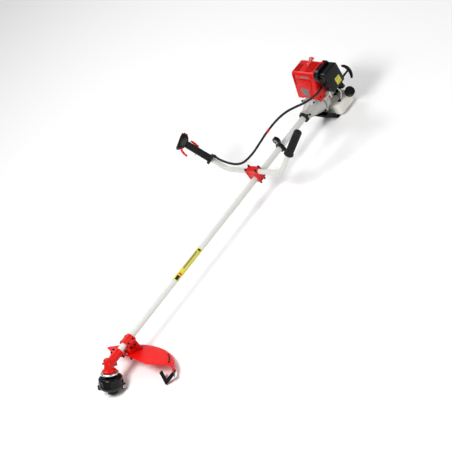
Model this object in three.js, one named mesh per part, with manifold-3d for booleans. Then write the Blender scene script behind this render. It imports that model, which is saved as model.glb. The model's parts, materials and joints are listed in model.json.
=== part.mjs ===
// Petrol string trimmer. Millimetres, +Z up, +X along the tube from the cutter to the engine,
// +Y the user's right. The trimmer lies as it rests on the floor: on its guard rim, its bump knob
// and its tank stand.
import * as THREE from 'three';
import { mergeVertices } from 'three/addons/utils/BufferGeometryUtils.js';
import Module from 'manifold-3d';

const wasm = await Module();
wasm.setup();

// Fits
const FIT = 0.3; // gap between two pieces that touch
const RUN = 0.8; // gap round a piece that turns
const PAST = 1; // how far a cutting tool runs past the face it cuts
const WELD = 1e-4;

// Smoothness: sides of a round piece
const FINE = 28;
const ROUND = 18;
const SMALL = 10;
const TINY = 8;
const PIPE_SIDES = 5; // half the sides of a bent tube

// Overall
const TUBE_START = 42; // stations along the tube start at the gear case
const TUBE_END = 1552;
const HEAD_LEAN = 28; // degrees the cutter axis leans from upright
const GUARD_RADIUS = 250;
const GUARD_RIM = -9.776; // height of the guard's rim on the cutter axis

// Tube
const TUBE_RADIUS = 14;
const TUBE_WALL = 1.5;
const SHAFT_RADIUS = 4;
const SHAFT_START = 24;
const SHAFT_PAST = 40; // shaft beyond the tube, inside the clutch drum
const BUSH_LENGTH = 24;
const BUSH_STATIONS = [420, 1120];

// Gear case, along the cutter axis
const CASE_TOP = 31;
const CASE_RADIUS = 19;
const CASE_DOME = 8;
const CASE_FOOT_RADIUS = 31;
const CASE_FOOT_TOP = -21;
const CASE_FOOT_BOTTOM = -28;
const CASE_WALL = 3;
const NECK_RADIUS = 20;
const NECK_END = 82;
const GEAR_MODULE_RADIUS = 14.5; // pitch radius of the driven gear
const GEAR_TEETH = 19;
const PINION_TEETH = 14;
const FACE_WIDTH = 6;
const TOOTH_DEPTH = 1.4;
const MESH_GAP = 0.45;
const OUTPUT_RADIUS = 5;
const OUTPUT_BOTTOM = -60;
const OUTPUT_TOP = 26;

// Blade flange under the gear case
const FLANGE_RADIUS = 38;
const FLANGE_TOP = -34;
const FLANGE_THICK = 4.5;
const FLANGE_BOTTOM = -46;
const FLANGE_HUB = 15;

// Line head
const HEAD_RADIUS = 53;
const HEAD_TOP = -47;
const HEAD_SKIRT = -84;
const HEAD_WALL = 3.5;
const COVER_BOTTOM = -107;
const COVER_HOLE = 24;
const EAR_PROUD = 9;
const EAR_WIDTH = 36;
const EAR_HEIGHT = 17;
const EAR_DROP = 6;
const EAR_TURN = -48; // degrees round the cutter axis
const SPOOL_CLEAR = 5.5;
const SPOOL_TOP = -63;
const SPOOL_BOTTOM = -88;
const SPOOL_CORE = 16;
const SPOOL_FLANGE = 3;
const SPOOL_BORE = 12;
const KNOB_RADIUS = 22;
const KNOB_ROUND = 9;

// Guard
const GUARD_SHIFT = -50; // guard centre from the tube's plane, to the user's left
const GUARD_PLATE = 11; // height of the plate on the cutter axis
const GUARD_SAG = 2.5;
const GUARD_SHEET = 2.6;
const GUARD_LOBE_DEPTH = 31;
const GUARD_NEAR = 92; // cutter axis to the guard's straight edge
const GUARD_SKEW = 13; // how much nearer that edge comes at its left corner
const GUARD_ARC_LEFT = -58;
const GUARD_ARC_RIGHT = 58;
const LOBE_ARC = 12;
const MOUNT_START = 116;
const MOUNT_LENGTH = 50;
const MOUNT_HALF_WIDTH = 20;
const MOUNT_FOOT_NEAR = 112;
const MOUNT_FOOT_FAR = 185;
const BRACKET_BAND = 14;
const BRACKET_LEAN = 24;
const BRACKET_DROP = 46;
const BRACKET_THICK = 3;
const BLADE_LENGTH = 31;
const BLADE_WIDTH = 24;
const BLADE_THICK = 2;

// Handlebar
const BAR_BEFORE = 409; // clamp centre to the tube's end
const BAR_HEIGHT = 33;
const BAR_RADIUS = 12;
const BAR_WALL = 2;
const BAR_STRAIGHT = 153;
const BAR_BEND = 55;
const BAR_BEND_ANGLE = 56;
const BAR_RISE = 193;
const BAR_GAP = 10;
const BAR_ROLL = -6;
const BAR_STEPS = 17;
const LEAN_RIGHT = -9;
const LEAN_LEFT = 39;
const CLAMP_LONG = 38; // along the tube
const CLAMP_WIDE = 80; // across the tube
const CLAMP_WAIST = 50;
const CLAMP_CAP = 16;
const CLAMP_SHOE = 20;
const GRIP_RADIUS = 18.5;
const GRIP_LENGTH = 122;
const GRIP_FLANGE = 4;
const THROTTLE_RADIUS = 17;
const THROTTLE_LENGTH = 136;
const HOUSING_LONG = 44;
const HOUSING_THICK = 34;
const HOUSING_FRONT = 42;
const HOUSING_BACK = 34;
const HOUSING_TAPER = 12;
const TRIGGER_LENGTH = 50;
const TRIGGER_WIDTH = 13;
const TRIGGER_THICK = 7;
const TRIGGER_SPLAY = 20;
const LOCKOUT_LENGTH = 46;
const LOCKOUT_WIDTH = 11;
const LOCKOUT_THICK = 6;
const SWITCH_LENGTH = 14;
const SWITCH_WIDTH = 10;
const SWITCH_HEIGHT = 12;
const SWITCH_TRAVEL = 5;

// Harness clamp
const HARNESS_BEFORE = 230;
const HARNESS_LONG = 18;
const HARNESS_RADIUS = 22;
const HARNESS_LUG_RADIUS = 16;
const HARNESS_LUG_HEIGHT = 42;
const HARNESS_EYE = 7;

// Throttle cable
const CABLE_RADIUS = 5.8;
const CABLE_STEPS = 42;

// Engine, along the tube
const TUBE_IN_CLUTCH = 18;
const CLUTCH_NECK = 26;
const CLUTCH_LONG = 103;
const CLUTCH_RADIUS = 54;
const CLUTCH_WALL = 4.5;
const COLLAR_RADIUS = 25;
const COLLAR_LONG = 12;
const DRUM_WALL = 3;
const DRUM_DEPTH = 26;
const FAN_PROUD = 6;
const FAN_LONG = 27;
const FAN_WALL = 4;
const FIN_COUNT = 12;
const CASE_LONG = 68;
const CRANK_RADIUS = 41;
const CRANK_WALL = 8;
const MAIN_JOURNAL = 7;
const WEB_RADIUS = 27;
const WEB_THICK = 6;
const CRANK_THROW = 13;
const PIN_RADIUS = 6;
const PIN_LONG = 12;
const BORE_RADIUS = 20;
const CYLINDER_BASE = 43;
const CYLINDER_TOP = 132;
const CYLINDER_FINS = 5;
const FIN_HALF = 38;
const FIN_THICK = 3;
const PISTON_LONG = 34;
const PLUG_RADIUS = 6;
const PLUG_HEIGHT = 34;
const BOOT_RADIUS = 10;

// Engine covers
const SHROUD_OVER_CLUTCH = 36;
const SHROUD_LONG = 146;
const SHROUD_RIGHT = 66;
const SHROUD_LEFT = -74;
const SHROUD_BOTTOM = 46;
const SHROUD_TOP = 176;
const SHROUD_LEAN = 32;
const SHROUD_CHAMFER = 26;
const SHROUD_SHEET = 2.5;
const SLOT_COUNT = 5;
const STARTER_RADIUS = 53;
const STARTER_LONG = 58;
const STARTER_WALL = 2.5;
const PULLEY_RADIUS = 28;
const PULLEY_THICK = 9;
const ROPE_RADIUS = 1.7;
const ROPE_OFFSET = -40;
const ROPE_LIFT = 2;
const HANDLE_SPAN = 80;
const HANDLE_RADIUS = 8;
const HANDLE_SAG = 18;
const HANDLE_STEM = 5.5;
const HANDLE_STEM_LONG = 60;
const HANDLE_TURN = 17;

// Intake and exhaust
const INTAKE_BEHIND = 53; // clutch end to the centre of the intake port
const INTAKE_Z = 76;
const CARB_SIZE = [44, 42, 50];
const CARB_NEAR = -44;
const FILTER_LONG = 97;
const FILTER_TALL = 108;
const FILTER_BOTTOM = 66;
const FILTER_FACE = -142;
const FILTER_DEPTH = 38;
const FILTER_WALL = 2.5;
const FILTER_BEHIND = 3;
const BASE_THICK = 9;
const SCOOP_DEEP = 19;
const SCOOP_TALL = 44;
const SCOOP_AHEAD = 8;
const FILTER_KNOB_RADIUS = 7;
const FILTER_KNOB_LONG = 15;
const CHOKE_RADIUS = 9;
const CHOKE_ARM = 26;
const BULB_RADIUS = 10;
const MUFFLER_SIZE = [62, 44, 60];
const MUFFLER_NEAR = 47;
const MUFFLER_Z = 88;
const MUFFLER_SHEET = 1.5;
const OUTLET_RADIUS = 6;
const OUTLET_LONG = 12;

// Fuel tank and stand
const TANK_BEHIND = 31;
const TANK_LONG = 114;
const TANK_HALF = 76;
const TANK_TOP = -54;
const TANK_CLEAR = 14; // tank above the floor
const TANK_WALL = 2.5;
const TANK_ROUND = 18;
const CAP_RADIUS = 24;
const CAP_HEIGHT = 20;
const NECK_IN_RADIUS = 14;
const NECK_OUT_RADIUS = 18;
const NECK_LEAN = 45;
const STAND_OVER_CLUTCH = 41;
const STAND_BEHIND = 25;
const STAND_FOOT = 114;
const STAND_TAIL = [22, 30];
const STAND_HALF = 46;
const STAND_SHEET = 5;
const STAND_RAIL = 18;

const DEGREE = Math.PI / 180;

// Lines that several pieces share
const leanCos = Math.cos(HEAD_LEAN * DEGREE);
const leanSin = Math.sin(HEAD_LEAN * DEGREE);
const floorDrop = GUARD_RADIUS * leanSin - GUARD_RIM * leanCos; // floor to tube centre line
const everyHeight = 4 * floorDrop;
const shaftEnd = TUBE_END + SHAFT_PAST;
const barStation = TUBE_END - BAR_BEFORE;
const harnessStation = TUBE_END - HARNESS_BEFORE;
const clutchStart = TUBE_END - TUBE_IN_CLUTCH;
const clutchEnd = clutchStart + CLUTCH_LONG;
const fanRadius = CLUTCH_RADIUS + FAN_PROUD;

const MATERIALS = {
  red: { color: '#d5231c', roughness: 0.35, metalness: 0 },
  black: { color: '#1c1d1f', roughness: 0.55, metalness: 0 },
  rubber: { color: '#26272a', roughness: 0.85, metalness: 0 },
  white: { color: '#e8e8e3', roughness: 0.3, metalness: 0 },
  cast: { color: '#a9abab', roughness: 0.5, metalness: 0.8 },
  steel: { color: '#c3c5c7', roughness: 0.3, metalness: 0.9 },
  tank: { color: '#e6e2d2', roughness: 0.45, metalness: 0 },
  rope: { color: '#d9d6cc', roughness: 0.9, metalness: 0 },
};

// ---- solids ----

function flipped(geometry) {
  const points = geometry.attributes.position;
  const index = geometry.index.array;
  const corner = [0, 1, 2].map(() => new THREE.Vector3());
  let volume = 0;
  for (let i = 0; i < index.length; i += 3) {
    corner.forEach((point, k) => point.fromBufferAttribute(points, index[i + k]));
    volume += corner[0].dot(corner[1].cross(corner[2]));
  }
  return volume < 0;
}

function solid(geometry) {
  const bare = geometry.clone();
  bare.deleteAttribute('normal');
  bare.deleteAttribute('uv');
  const welded = mergeVertices(bare, WELD);
  const turnedOver = flipped(welded);
  const faces = [];
  for (let i = 0; i < welded.index.array.length; i += 3) {
    const [a, b, c] = welded.index.array.slice(i, i + 3);
    if (a !== b && b !== c && c !== a) {
      faces.push(...(turnedOver ? [a, c, b] : [a, b, c]));
    }
  }
  return new wasm.Manifold(new wasm.Mesh({
    numProp: 3,
    vertProperties: new Float32Array(welded.attributes.position.array),
    triVerts: new Uint32Array(faces),
  }));
}

function skin(body) {
  const mesh = body.getMesh();
  const geometry = new THREE.BufferGeometry();
  geometry.setAttribute('position', new THREE.BufferAttribute(mesh.vertProperties, 3));
  geometry.setIndex(new THREE.BufferAttribute(mesh.triVerts, 1));
  const flat = geometry.toNonIndexed();
  flat.computeVertexNormals();
  return flat;
}

function moved(body, x, y, z) {
  return body.translate([x, y, z]);
}

function tilted(body, x, y, z) {
  return body.rotate([x, y, z]);
}

function block(sizes, centre) {
  return moved(solid(new THREE.BoxGeometry(...sizes)), ...centre);
}

// A round bar from `start` to `end` along an axis, or a cone when `endRadius` is given.
function rod(axis, radius, start, end, sides = ROUND, endRadius = radius) {
  const geometry = new THREE.CylinderGeometry(endRadius, radius, end - start, sides);
  geometry.translate(0, (start + end) / 2, 0);
  if (axis === 'x') {
    geometry.rotateZ(-Math.PI / 2);
  }
  if (axis === 'z') {
    geometry.rotateX(Math.PI / 2);
  }
  return solid(geometry);
}

// A profile of [radius, height] points turned about +Z, or about +X.
function turned(axis, profile, sides = ROUND) {
  const points = profile.map(([radius, height]) => new THREE.Vector2(radius, height));
  const first = points[0];
  const last = points[points.length - 1];
  if (first.x > 0 || last.x > 0) {
    points.push(first.clone());
  }
  const geometry = new THREE.LatheGeometry(points, sides);
  if (axis === 'x') {
    geometry.rotateZ(-Math.PI / 2);
  } else {
    geometry.rotateX(Math.PI / 2);
  }
  return solid(geometry);
}

// A flat outline given a thickness, centred on its plane: 'xy', 'xz' or 'yz'.
function prism(plane, outline, thickness, bevel = 0) {
  const flat = new THREE.Shape(outline.map(([a, b]) => new THREE.Vector2(a, b)));
  const geometry = new THREE.ExtrudeGeometry(flat, {
    depth: thickness - 2 * bevel,
    bevelEnabled: bevel > 0,
    bevelSize: bevel,
    bevelThickness: bevel,
    bevelOffset: -bevel,
    bevelSegments: 1,
  });
  geometry.translate(0, 0, bevel - thickness / 2);
  const turn = new THREE.Matrix4();
  if (plane === 'xz') {
    turn.makeRotationX(Math.PI / 2);
  }
  if (plane === 'yz') {
    turn.set(0, 0, 1, 0, 1, 0, 0, 0, 0, 1, 0, 0, 0, 0, 0, 1);
  }
  return solid(geometry.applyMatrix4(turn));
}

function rounded(a, b, radius, steps = 2) {
  const points = [];
  for (const [sx, sy, start] of [[1, 1, 0], [-1, 1, 90], [-1, -1, 180], [1, -1, 270]]) {
    for (let i = 0; i <= steps; i += 1) {
      const angle = (start + (90 * i) / steps) * DEGREE;
      const x = sx * (a / 2 - radius) + radius * Math.cos(angle);
      const y = sy * (b / 2 - radius) + radius * Math.sin(angle);
      points.push([x, y]);
    }
  }
  return points;
}

function pipe(curve, outer, inner, steps, sides) {
  const ring = new THREE.Shape().absarc(0, 0, outer, 0, 2 * Math.PI);
  if (inner > 0) {
    ring.holes.push(new THREE.Path().absarc(0, 0, inner, 0, 2 * Math.PI, true));
  }
  return new THREE.ExtrudeGeometry(ring, { steps, extrudePath: curve, curveSegments: sides });
}

function joined(...bodies) {
  return bodies.reduce((all, body) => all.add(body));
}

function cut(body, ...tools) {
  return tools.reduce((rest, tool) => rest.subtract(tool), body);
}

function group(parent, position = [0, 0, 0]) {
  const made = new THREE.Group();
  made.position.set(...position);
  parent.add(made);
  return made;
}

function node(parent, name, material, geometry) {
  const made = new THREE.Mesh(geometry, new THREE.MeshStandardMaterial(MATERIALS[material]));
  made.name = name;
  parent.add(made);
  return made;
}

const trimmer = new THREE.Group();
trimmer.name = 'string_trimmer';
const machine = group(trimmer);

// ---- tube and drive shaft ----

node(machine, 'main_tube', 'white', skin(cut(
  rod('x', TUBE_RADIUS, TUBE_START, TUBE_END),
  rod('x', TUBE_RADIUS - TUBE_WALL, TUBE_START - PAST, TUBE_END + PAST),
)));
node(machine, 'drive_shaft', 'steel', skin(rod('x', SHAFT_RADIUS, SHAFT_START, shaftEnd, SMALL)));
BUSH_STATIONS.forEach((station, i) => {
  const bush = cut(
    rod('x', TUBE_RADIUS - TUBE_WALL - FIT, station, station + BUSH_LENGTH),
    rod('x', SHAFT_RADIUS + FIT, station - PAST, station + BUSH_LENGTH + PAST, SMALL),
  );
  node(machine, `shaft_bush_${i + 1}`, 'black', skin(bush));
});

// ---- cutter head: a frame whose +Z is the cutter axis and whose +X points back to the user ----

const head = group(machine);
head.rotation.y = HEAD_LEAN * DEGREE;

// Turns something built along the tube into the cutter head's frame.
function alongTube(body) {
  return tilted(body, 0, -HEAD_LEAN, 0);
}

const caseShell = joined(
  turned('z', [
    [0, CASE_FOOT_BOTTOM],
    [CASE_FOOT_RADIUS, CASE_FOOT_BOTTOM],
    [CASE_FOOT_RADIUS, CASE_FOOT_TOP],
    [CASE_RADIUS + CASE_WALL, CASE_FOOT_TOP + CASE_WALL],
    [CASE_RADIUS, 0],
    [CASE_RADIUS, CASE_TOP - CASE_DOME],
    [CASE_RADIUS - CASE_WALL, CASE_TOP - CASE_WALL],
    [0, CASE_TOP],
  ]),
  alongTube(rod('x', NECK_RADIUS, 0, NECK_END)),
);
const pinionRadius = (GEAR_MODULE_RADIUS * PINION_TEETH) / GEAR_TEETH;
const axesAngle = (90 - HEAD_LEAN) * DEGREE;
const toothRatio = GEAR_TEETH / PINION_TEETH;
const pinionCone = Math.atan2(Math.sin(axesAngle), toothRatio + Math.cos(axesAngle));
const gearCone = axesAngle - pinionCone;
const coneLength = GEAR_MODULE_RADIUS / Math.sin(gearCone);
const gearHeight = coneLength * Math.cos(gearCone);
const pinionHeight = coneLength * Math.cos(pinionCone);
const cavityRadius = CASE_RADIUS - CASE_WALL;
node(head, 'gear_case', 'red', skin(cut(
  caseShell,
  rod('z', cavityRadius, CASE_FOOT_BOTTOM - PAST, CASE_TOP - CASE_DOME),
  rod('z', cavityRadius / 2, 0, CASE_TOP - CASE_WALL),
  alongTube(rod('x', pinionRadius + CASE_WALL, pinionHeight - FACE_WIDTH, TUBE_START + PAST)),
  alongTube(rod('x', TUBE_RADIUS + FIT, TUBE_START - FIT, NECK_END + PAST)),
)));

// A bevel gear round +Z: its large end at `height`, narrowing towards the cone's point at 0.
function bevelGear(teeth, cone, bore, hub) {
  const large = coneLength * Math.sin(cone) - MESH_GAP;
  const top = coneLength * Math.cos(cone);
  const bottom = (coneLength - FACE_WIDTH) * Math.cos(cone);
  const shrink = (coneLength - FACE_WIDTH) / coneLength;
  const outline = [];
  for (let i = 0; i < teeth * 4; i += 1) {
    const radius = i % 4 < 2 ? large : large - TOOTH_DEPTH;
    const angle = ((i + 0.5) / (teeth * 4)) * 2 * Math.PI;
    outline.push([radius * Math.cos(angle), radius * Math.sin(angle)]);
  }
  const toothed = new THREE.ExtrudeGeometry(
    new THREE.Shape(outline.map(([a, b]) => new THREE.Vector2(a, b))),
    { depth: top - bottom, bevelEnabled: false },
  );
  const points = toothed.attributes.position;
  for (let i = 0; i < points.count; i += 1) {
    if (points.getZ(i) === 0) {
      points.setXY(i, points.getX(i) * shrink, points.getY(i) * shrink);
    }
  }
  return cut(
    joined(moved(solid(toothed), 0, 0, bottom), rod('z', bore + CASE_WALL, top - PAST, hub, SMALL)),
    rod('z', bore, 0, hub + PAST, SMALL),
  );
}

const pinion = bevelGear(PINION_TEETH, pinionCone, SHAFT_RADIUS + FIT, TUBE_START - CASE_WALL);
node(machine, 'drive_pinion', 'steel', skin(tilted(pinion, 0, 90, 0)));
node(head, 'output_gear', 'steel', skin(bevelGear(
  GEAR_TEETH,
  gearCone,
  OUTPUT_RADIUS + FIT,
  gearHeight + CASE_WALL,
)));
node(head, 'output_shaft', 'steel', skin(rod('z', OUTPUT_RADIUS, OUTPUT_BOTTOM, OUTPUT_TOP, SMALL)));

node(head, 'blade_flange', 'steel', skin(turned('z', [
  [OUTPUT_RADIUS + FIT, CASE_FOOT_BOTTOM - RUN],
  [FLANGE_HUB, CASE_FOOT_BOTTOM - RUN],
  [FLANGE_HUB, FLANGE_TOP],
  [FLANGE_RADIUS, FLANGE_TOP],
  [FLANGE_RADIUS, FLANGE_TOP - FLANGE_THICK],
  [FLANGE_RADIUS * 0.7, FLANGE_BOTTOM],
  [OUTPUT_RADIUS + FIT, FLANGE_BOTTOM],
])));

const headInside = HEAD_RADIUS - HEAD_WALL;
const roofUnder = HEAD_TOP - 2 * HEAD_WALL;
node(head, 'head_housing', 'black', skin(turned('z', [
  [OUTPUT_RADIUS + FIT, HEAD_TOP],
  [HEAD_RADIUS * 0.45, HEAD_TOP],
  [HEAD_RADIUS * 0.86, HEAD_TOP - HEAD_WALL],
  [HEAD_RADIUS, HEAD_TOP - 3 * HEAD_WALL],
  [HEAD_RADIUS, HEAD_SKIRT],
  [headInside, HEAD_SKIRT],
  [headInside, roofUnder - HEAD_WALL],
  [headInside - HEAD_WALL, roofUnder],
  [OUTPUT_RADIUS + FIT, roofUnder],
], FINE)));

const coverTop = HEAD_SKIRT - FIT;
const coverRing = turned('z', [
  [HEAD_RADIUS + FIT, coverTop],
  [HEAD_RADIUS + FIT, coverTop - HEAD_WALL * 3],
  [HEAD_RADIUS * 0.9, COVER_BOTTOM],
  [COVER_HOLE, COVER_BOTTOM],
  [COVER_HOLE, COVER_BOTTOM + HEAD_WALL],
  [HEAD_RADIUS * 0.85, COVER_BOTTOM + HEAD_WALL],
  [headInside, coverTop - HEAD_WALL * 3],
  [headInside, coverTop],
], FINE);
const earReach = 2 * ((HEAD_RADIUS + EAR_PROUD) - EAR_WIDTH / 2);
const earTop = coverTop - EAR_DROP;
const ears = cut(
  joined(
    block([earReach, EAR_WIDTH, EAR_HEIGHT], [0, 0, earTop - EAR_HEIGHT / 2]),
    ...[-1, 1].map((side) => moved(
      rod('z', EAR_WIDTH / 2, earTop - EAR_HEIGHT, earTop, SMALL),
      (side * earReach) / 2,
      0,
      0,
    )),
  ),
  rod('z', HEAD_RADIUS * 0.88, COVER_BOTTOM - PAST, coverTop + PAST, FINE),
);
node(head, 'head_cover', 'black', skin(joined(coverRing, tilted(ears, 0, 0, EAR_TURN))));

const spoolRadius = headInside - SPOOL_CLEAR;
node(head, 'line_spool', 'white', skin(turned('z', [
  [SPOOL_BORE, SPOOL_BOTTOM],
  [spoolRadius, SPOOL_BOTTOM],
  [spoolRadius, SPOOL_BOTTOM + SPOOL_FLANGE],
  [SPOOL_CORE, SPOOL_BOTTOM + SPOOL_FLANGE],
  [SPOOL_CORE, SPOOL_TOP - SPOOL_FLANGE],
  [spoolRadius, SPOOL_TOP - SPOOL_FLANGE],
  [spoolRadius, SPOOL_TOP],
  [SPOOL_BORE, SPOOL_TOP],
])));

// The knob's lowest rim just reaches the floor while the cutter axis leans.
const knobFlat = KNOB_RADIUS - KNOB_ROUND;
const knobBottom = -(floorDrop - knobFlat * leanSin) / leanCos;
node(head, 'bump_knob', 'black', skin(turned('z', [
  [0, knobBottom],
  [knobFlat, knobBottom],
  [KNOB_RADIUS, knobBottom + KNOB_ROUND],
  [KNOB_RADIUS, COVER_BOTTOM],
  [KNOB_RADIUS - HEAD_WALL, SPOOL_BOTTOM - FIT],
  [0, SPOOL_BOTTOM - FIT],
])));

// ---- guard ----

const guard = group(head, [0, GUARD_SHIFT, 0]);
const guardSheet = turned('z', [
  [GUARD_NEAR * 0.6, GUARD_PLATE],
  [GUARD_RADIUS * 0.8, GUARD_PLATE - GUARD_SAG],
  [GUARD_RADIUS * 0.93, GUARD_PLATE - 2 * GUARD_SAG],
  [GUARD_RADIUS * 0.985, GUARD_RIM + GUARD_SAG],
  [GUARD_RADIUS, GUARD_RIM],
  [GUARD_RADIUS - GUARD_SHEET, GUARD_RIM],
  [GUARD_RADIUS * 0.985 - GUARD_SHEET, GUARD_RIM + GUARD_SAG - GUARD_SHEET / 2],
  [GUARD_RADIUS * 0.93, GUARD_PLATE - 2 * GUARD_SAG - GUARD_SHEET],
  [GUARD_RADIUS * 0.8, GUARD_PLATE - GUARD_SAG - GUARD_SHEET],
  [GUARD_NEAR * 0.6, GUARD_PLATE - GUARD_SHEET],
], 2 * FINE);

function onArc(radius, degrees) {
  return [radius * Math.cos(degrees * DEGREE), radius * Math.sin(degrees * DEGREE)];
}

// The part of a circle between two directions, as an outline that reaches past the guard's rim.
function sector(from, to) {
  const reach = GUARD_RADIUS * 1.5;
  return [[0, 0], onArc(reach, from), onArc(reach, (from + to) / 2), onArc(reach, to)];
}

const [, leftTip] = onArc(GUARD_RADIUS, GUARD_ARC_LEFT);
const [, rightTip] = onArc(GUARD_RADIUS, GUARD_ARC_RIGHT);
const guardOutline = [
  [GUARD_NEAR - GUARD_SKEW, leftTip * 0.48],
  [GUARD_RADIUS * 0.46, leftTip * 0.93],
  [GUARD_RADIUS * 0.52, leftTip * 1.05],
  [GUARD_RADIUS * 1.2, leftTip * 1.05],
  [GUARD_RADIUS * 1.2, rightTip * 1.05],
  [GUARD_RADIUS * 0.5, rightTip * 1.02],
  [GUARD_NEAR, rightTip * 0.62],
  [GUARD_NEAR, 0],
];
const lobeRing = turned('z', [
  [GUARD_RADIUS - GUARD_SHEET, GUARD_RIM - GUARD_LOBE_DEPTH],
  [GUARD_RADIUS, GUARD_RIM - GUARD_LOBE_DEPTH],
  [GUARD_RADIUS, GUARD_RIM + PAST],
  [GUARD_RADIUS - GUARD_SHEET, GUARD_RIM + PAST],
], 2 * FINE);
const lobe = lobeRing.intersect(
  prism('xy', sector(GUARD_ARC_LEFT, GUARD_ARC_LEFT + LOBE_ARC), everyHeight),
);
const shield = guardSheet
  .intersect(prism('xy', guardOutline, everyHeight))
  .intersect(prism('xy', sector(GUARD_ARC_LEFT, GUARD_ARC_RIGHT), everyHeight));
node(guard, 'guard_shield', 'red', skin(joined(shield, lobe)));

// The line cutter hangs outside the guard's left end and its bracket stands inside it.
const [endX, endY] = onArc(GUARD_RADIUS, GUARD_ARC_LEFT);
const blade = group(guard);
blade.rotation.z = (GUARD_ARC_LEFT + LOBE_ARC / 3) * DEGREE;
node(blade, 'line_blade', 'steel', skin(moved(
  prism('yz', [
    [-BLADE_WIDTH / 2, 0],
    [BLADE_WIDTH / 2, 0],
    [BLADE_WIDTH / 2, -BLADE_LENGTH * 0.45],
    [-BLADE_WIDTH / 4, -BLADE_LENGTH],
  ], BLADE_THICK),
  GUARD_RADIUS + FIT + BLADE_THICK / 2,
  0,
  GUARD_RIM - GUARD_LOBE_DEPTH * 0.6,
)));

function strap(from, to) {
  const run = Math.hypot(to[0] - from[0], to[1] - from[1]);
  const angle = Math.atan2(to[1] - from[1], to[0] - from[0]) / DEGREE;
  const bar = prism('yz', rounded(run + BRACKET_BAND, BRACKET_BAND, BRACKET_THICK), BRACKET_THICK);
  return moved(tilted(bar, angle, 0, 0), 0, (from[0] + to[0]) / 2, (from[1] + to[1]) / 2);
}

const bracketTop = [-BRACKET_BAND / 3, -BRACKET_BAND / 2];
const bracketLow = [1.7 * BRACKET_BAND, -BRACKET_DROP];
const bracketTip = [4.5 * BRACKET_BAND, -BRACKET_BAND];
const bracket = group(guard, [
  endX - GUARD_SHEET - BRACKET_THICK,
  endY,
  GUARD_RIM - GUARD_LOBE_DEPTH * 0.6,
]);
bracket.rotation.y = BRACKET_LEAN * DEGREE;
node(bracket, 'line_bracket', 'black', skin(joined(
  strap(bracketTop, bracketLow),
  strap(bracketLow, bracketTip),
)));

// The red clamp: a half shell over the tube, and a wedge from the tube down to the guard.
const mountEnd = MOUNT_START + MOUNT_LENGTH;
const clampRadius = TUBE_RADIUS + 6;
const tubeHole = rod('x', TUBE_RADIUS + FIT, 0, TUBE_END);
const upperHalf = block(
  [2 * TUBE_END, everyHeight, everyHeight],
  [0, 0, everyHeight / 2 + FIT / 2],
);
const mountEars = block(
  [MOUNT_LENGTH, 2 * MOUNT_HALF_WIDTH + 12, 12],
  [MOUNT_START + MOUNT_LENGTH / 2, 0, 0],
);
node(machine, 'guard_clamp', 'red', skin(cut(
  joined(rod('x', clampRadius, MOUNT_START, mountEnd), mountEars),
  tubeHole,
).intersect(upperHalf)));

// A point on the guard's plate, given its distance from the cutter axis, in tube directions.
function onPlate(distance, height) {
  return [distance * leanCos + height * leanSin, height * leanCos - distance * leanSin];
}

const wedge = prism('xz', [
  [MOUNT_START, 0],
  [MOUNT_START, -TUBE_RADIUS * 1.4],
  onPlate(MOUNT_FOOT_NEAR, GUARD_PLATE + FIT),
  onPlate(MOUNT_FOOT_FAR, GUARD_PLATE + FIT),
  [mountEnd, -TUBE_RADIUS],
  [mountEnd, 0],
], 2 * MOUNT_HALF_WIDTH);
node(machine, 'guard_mount', 'red', skin(cut(
  cut(joined(wedge, mountEars), tubeHole),
  moved(upperHalf, 0, 0, -FIT),
)));

// ---- handlebar ----

const handle = group(machine);
handle.rotation.x = BAR_ROLL * DEGREE;
const barBore = moved(rod('y', BAR_RADIUS + FIT, -CLAMP_WIDE, CLAMP_WIDE), 0, 0, BAR_HEIGHT);
const clampBore = rod('x', TUBE_RADIUS + FIT, -CLAMP_LONG, CLAMP_LONG);
const clamp = group(handle, [barStation, 0, 0]);

function bossed(plan, low, high, holes) {
  const height = high - low;
  const plate = moved(prism('xy', plan, height), 0, 0, (low + high) / 2);
  return cut(plate, ...holes);
}

const capPlan = rounded(CLAMP_LONG, CLAMP_WIDE, 9);
const shoePlan = rounded(CLAMP_LONG, CLAMP_WAIST, 9);
node(clamp, 'bar_clamp_cap', 'red', skin(
  bossed(capPlan, BAR_HEIGHT + FIT, BAR_HEIGHT + CLAMP_CAP, [barBore]),
));
node(clamp, 'bar_clamp_middle', 'red', skin(
  bossed(capPlan, FIT, BAR_HEIGHT - FIT, [barBore, clampBore]),
));
node(clamp, 'bar_clamp_shoe', 'red', skin(
  bossed(shoePlan, -CLAMP_SHOE, -FIT, [clampBore]),
));

// One half of the handlebar, in its own frame: +Z rises from the clamp, Y runs outwards.
class BarPath extends THREE.Curve {
  constructor(side, start, rise) {
    super();
    this.side = side;
    this.start = start;
    this.rise = rise;
  }

  getPoint(t, target = new THREE.Vector3()) {
    const bend = BAR_BEND_ANGLE * DEGREE;
    const arc = BAR_BEND * bend;
    const straight = BAR_STRAIGHT - this.start;
    const travelled = t * (straight + arc + this.rise);
    if (travelled < straight) {
      return target.set(0, this.side * (this.start + travelled), 0);
    }
    const turn = Math.min((travelled - straight) / BAR_BEND, bend);
    const beyond = Math.max(travelled - straight - arc, 0);
    const out = BAR_STRAIGHT + BAR_BEND * Math.sin(turn) + beyond * Math.cos(turn);
    const up = BAR_BEND * (1 - Math.cos(turn)) + beyond * Math.sin(turn);
    return target.set(0, this.side * out, up);
  }
}

function barHalf(side, lean, name) {
  const half = group(handle, [barStation, 0, BAR_HEIGHT]);
  half.rotation.y = lean * DEGREE;
  const curve = new BarPath(side, BAR_GAP, BAR_RISE);
  node(half, name, 'white', pipe(curve, BAR_RADIUS, BAR_RADIUS - BAR_WALL, BAR_STEPS, PIPE_SIDES));
  const end = group(half);
  curve.getPoint(1, end.position);
  end.rotation.x = -side * (90 - BAR_BEND_ANGLE) * DEGREE;
  return end;
}

const rightEnd = barHalf(1, LEAN_RIGHT, 'handlebar_right');
const leftEnd = barHalf(-1, LEAN_LEFT, 'handlebar_left');

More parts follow.
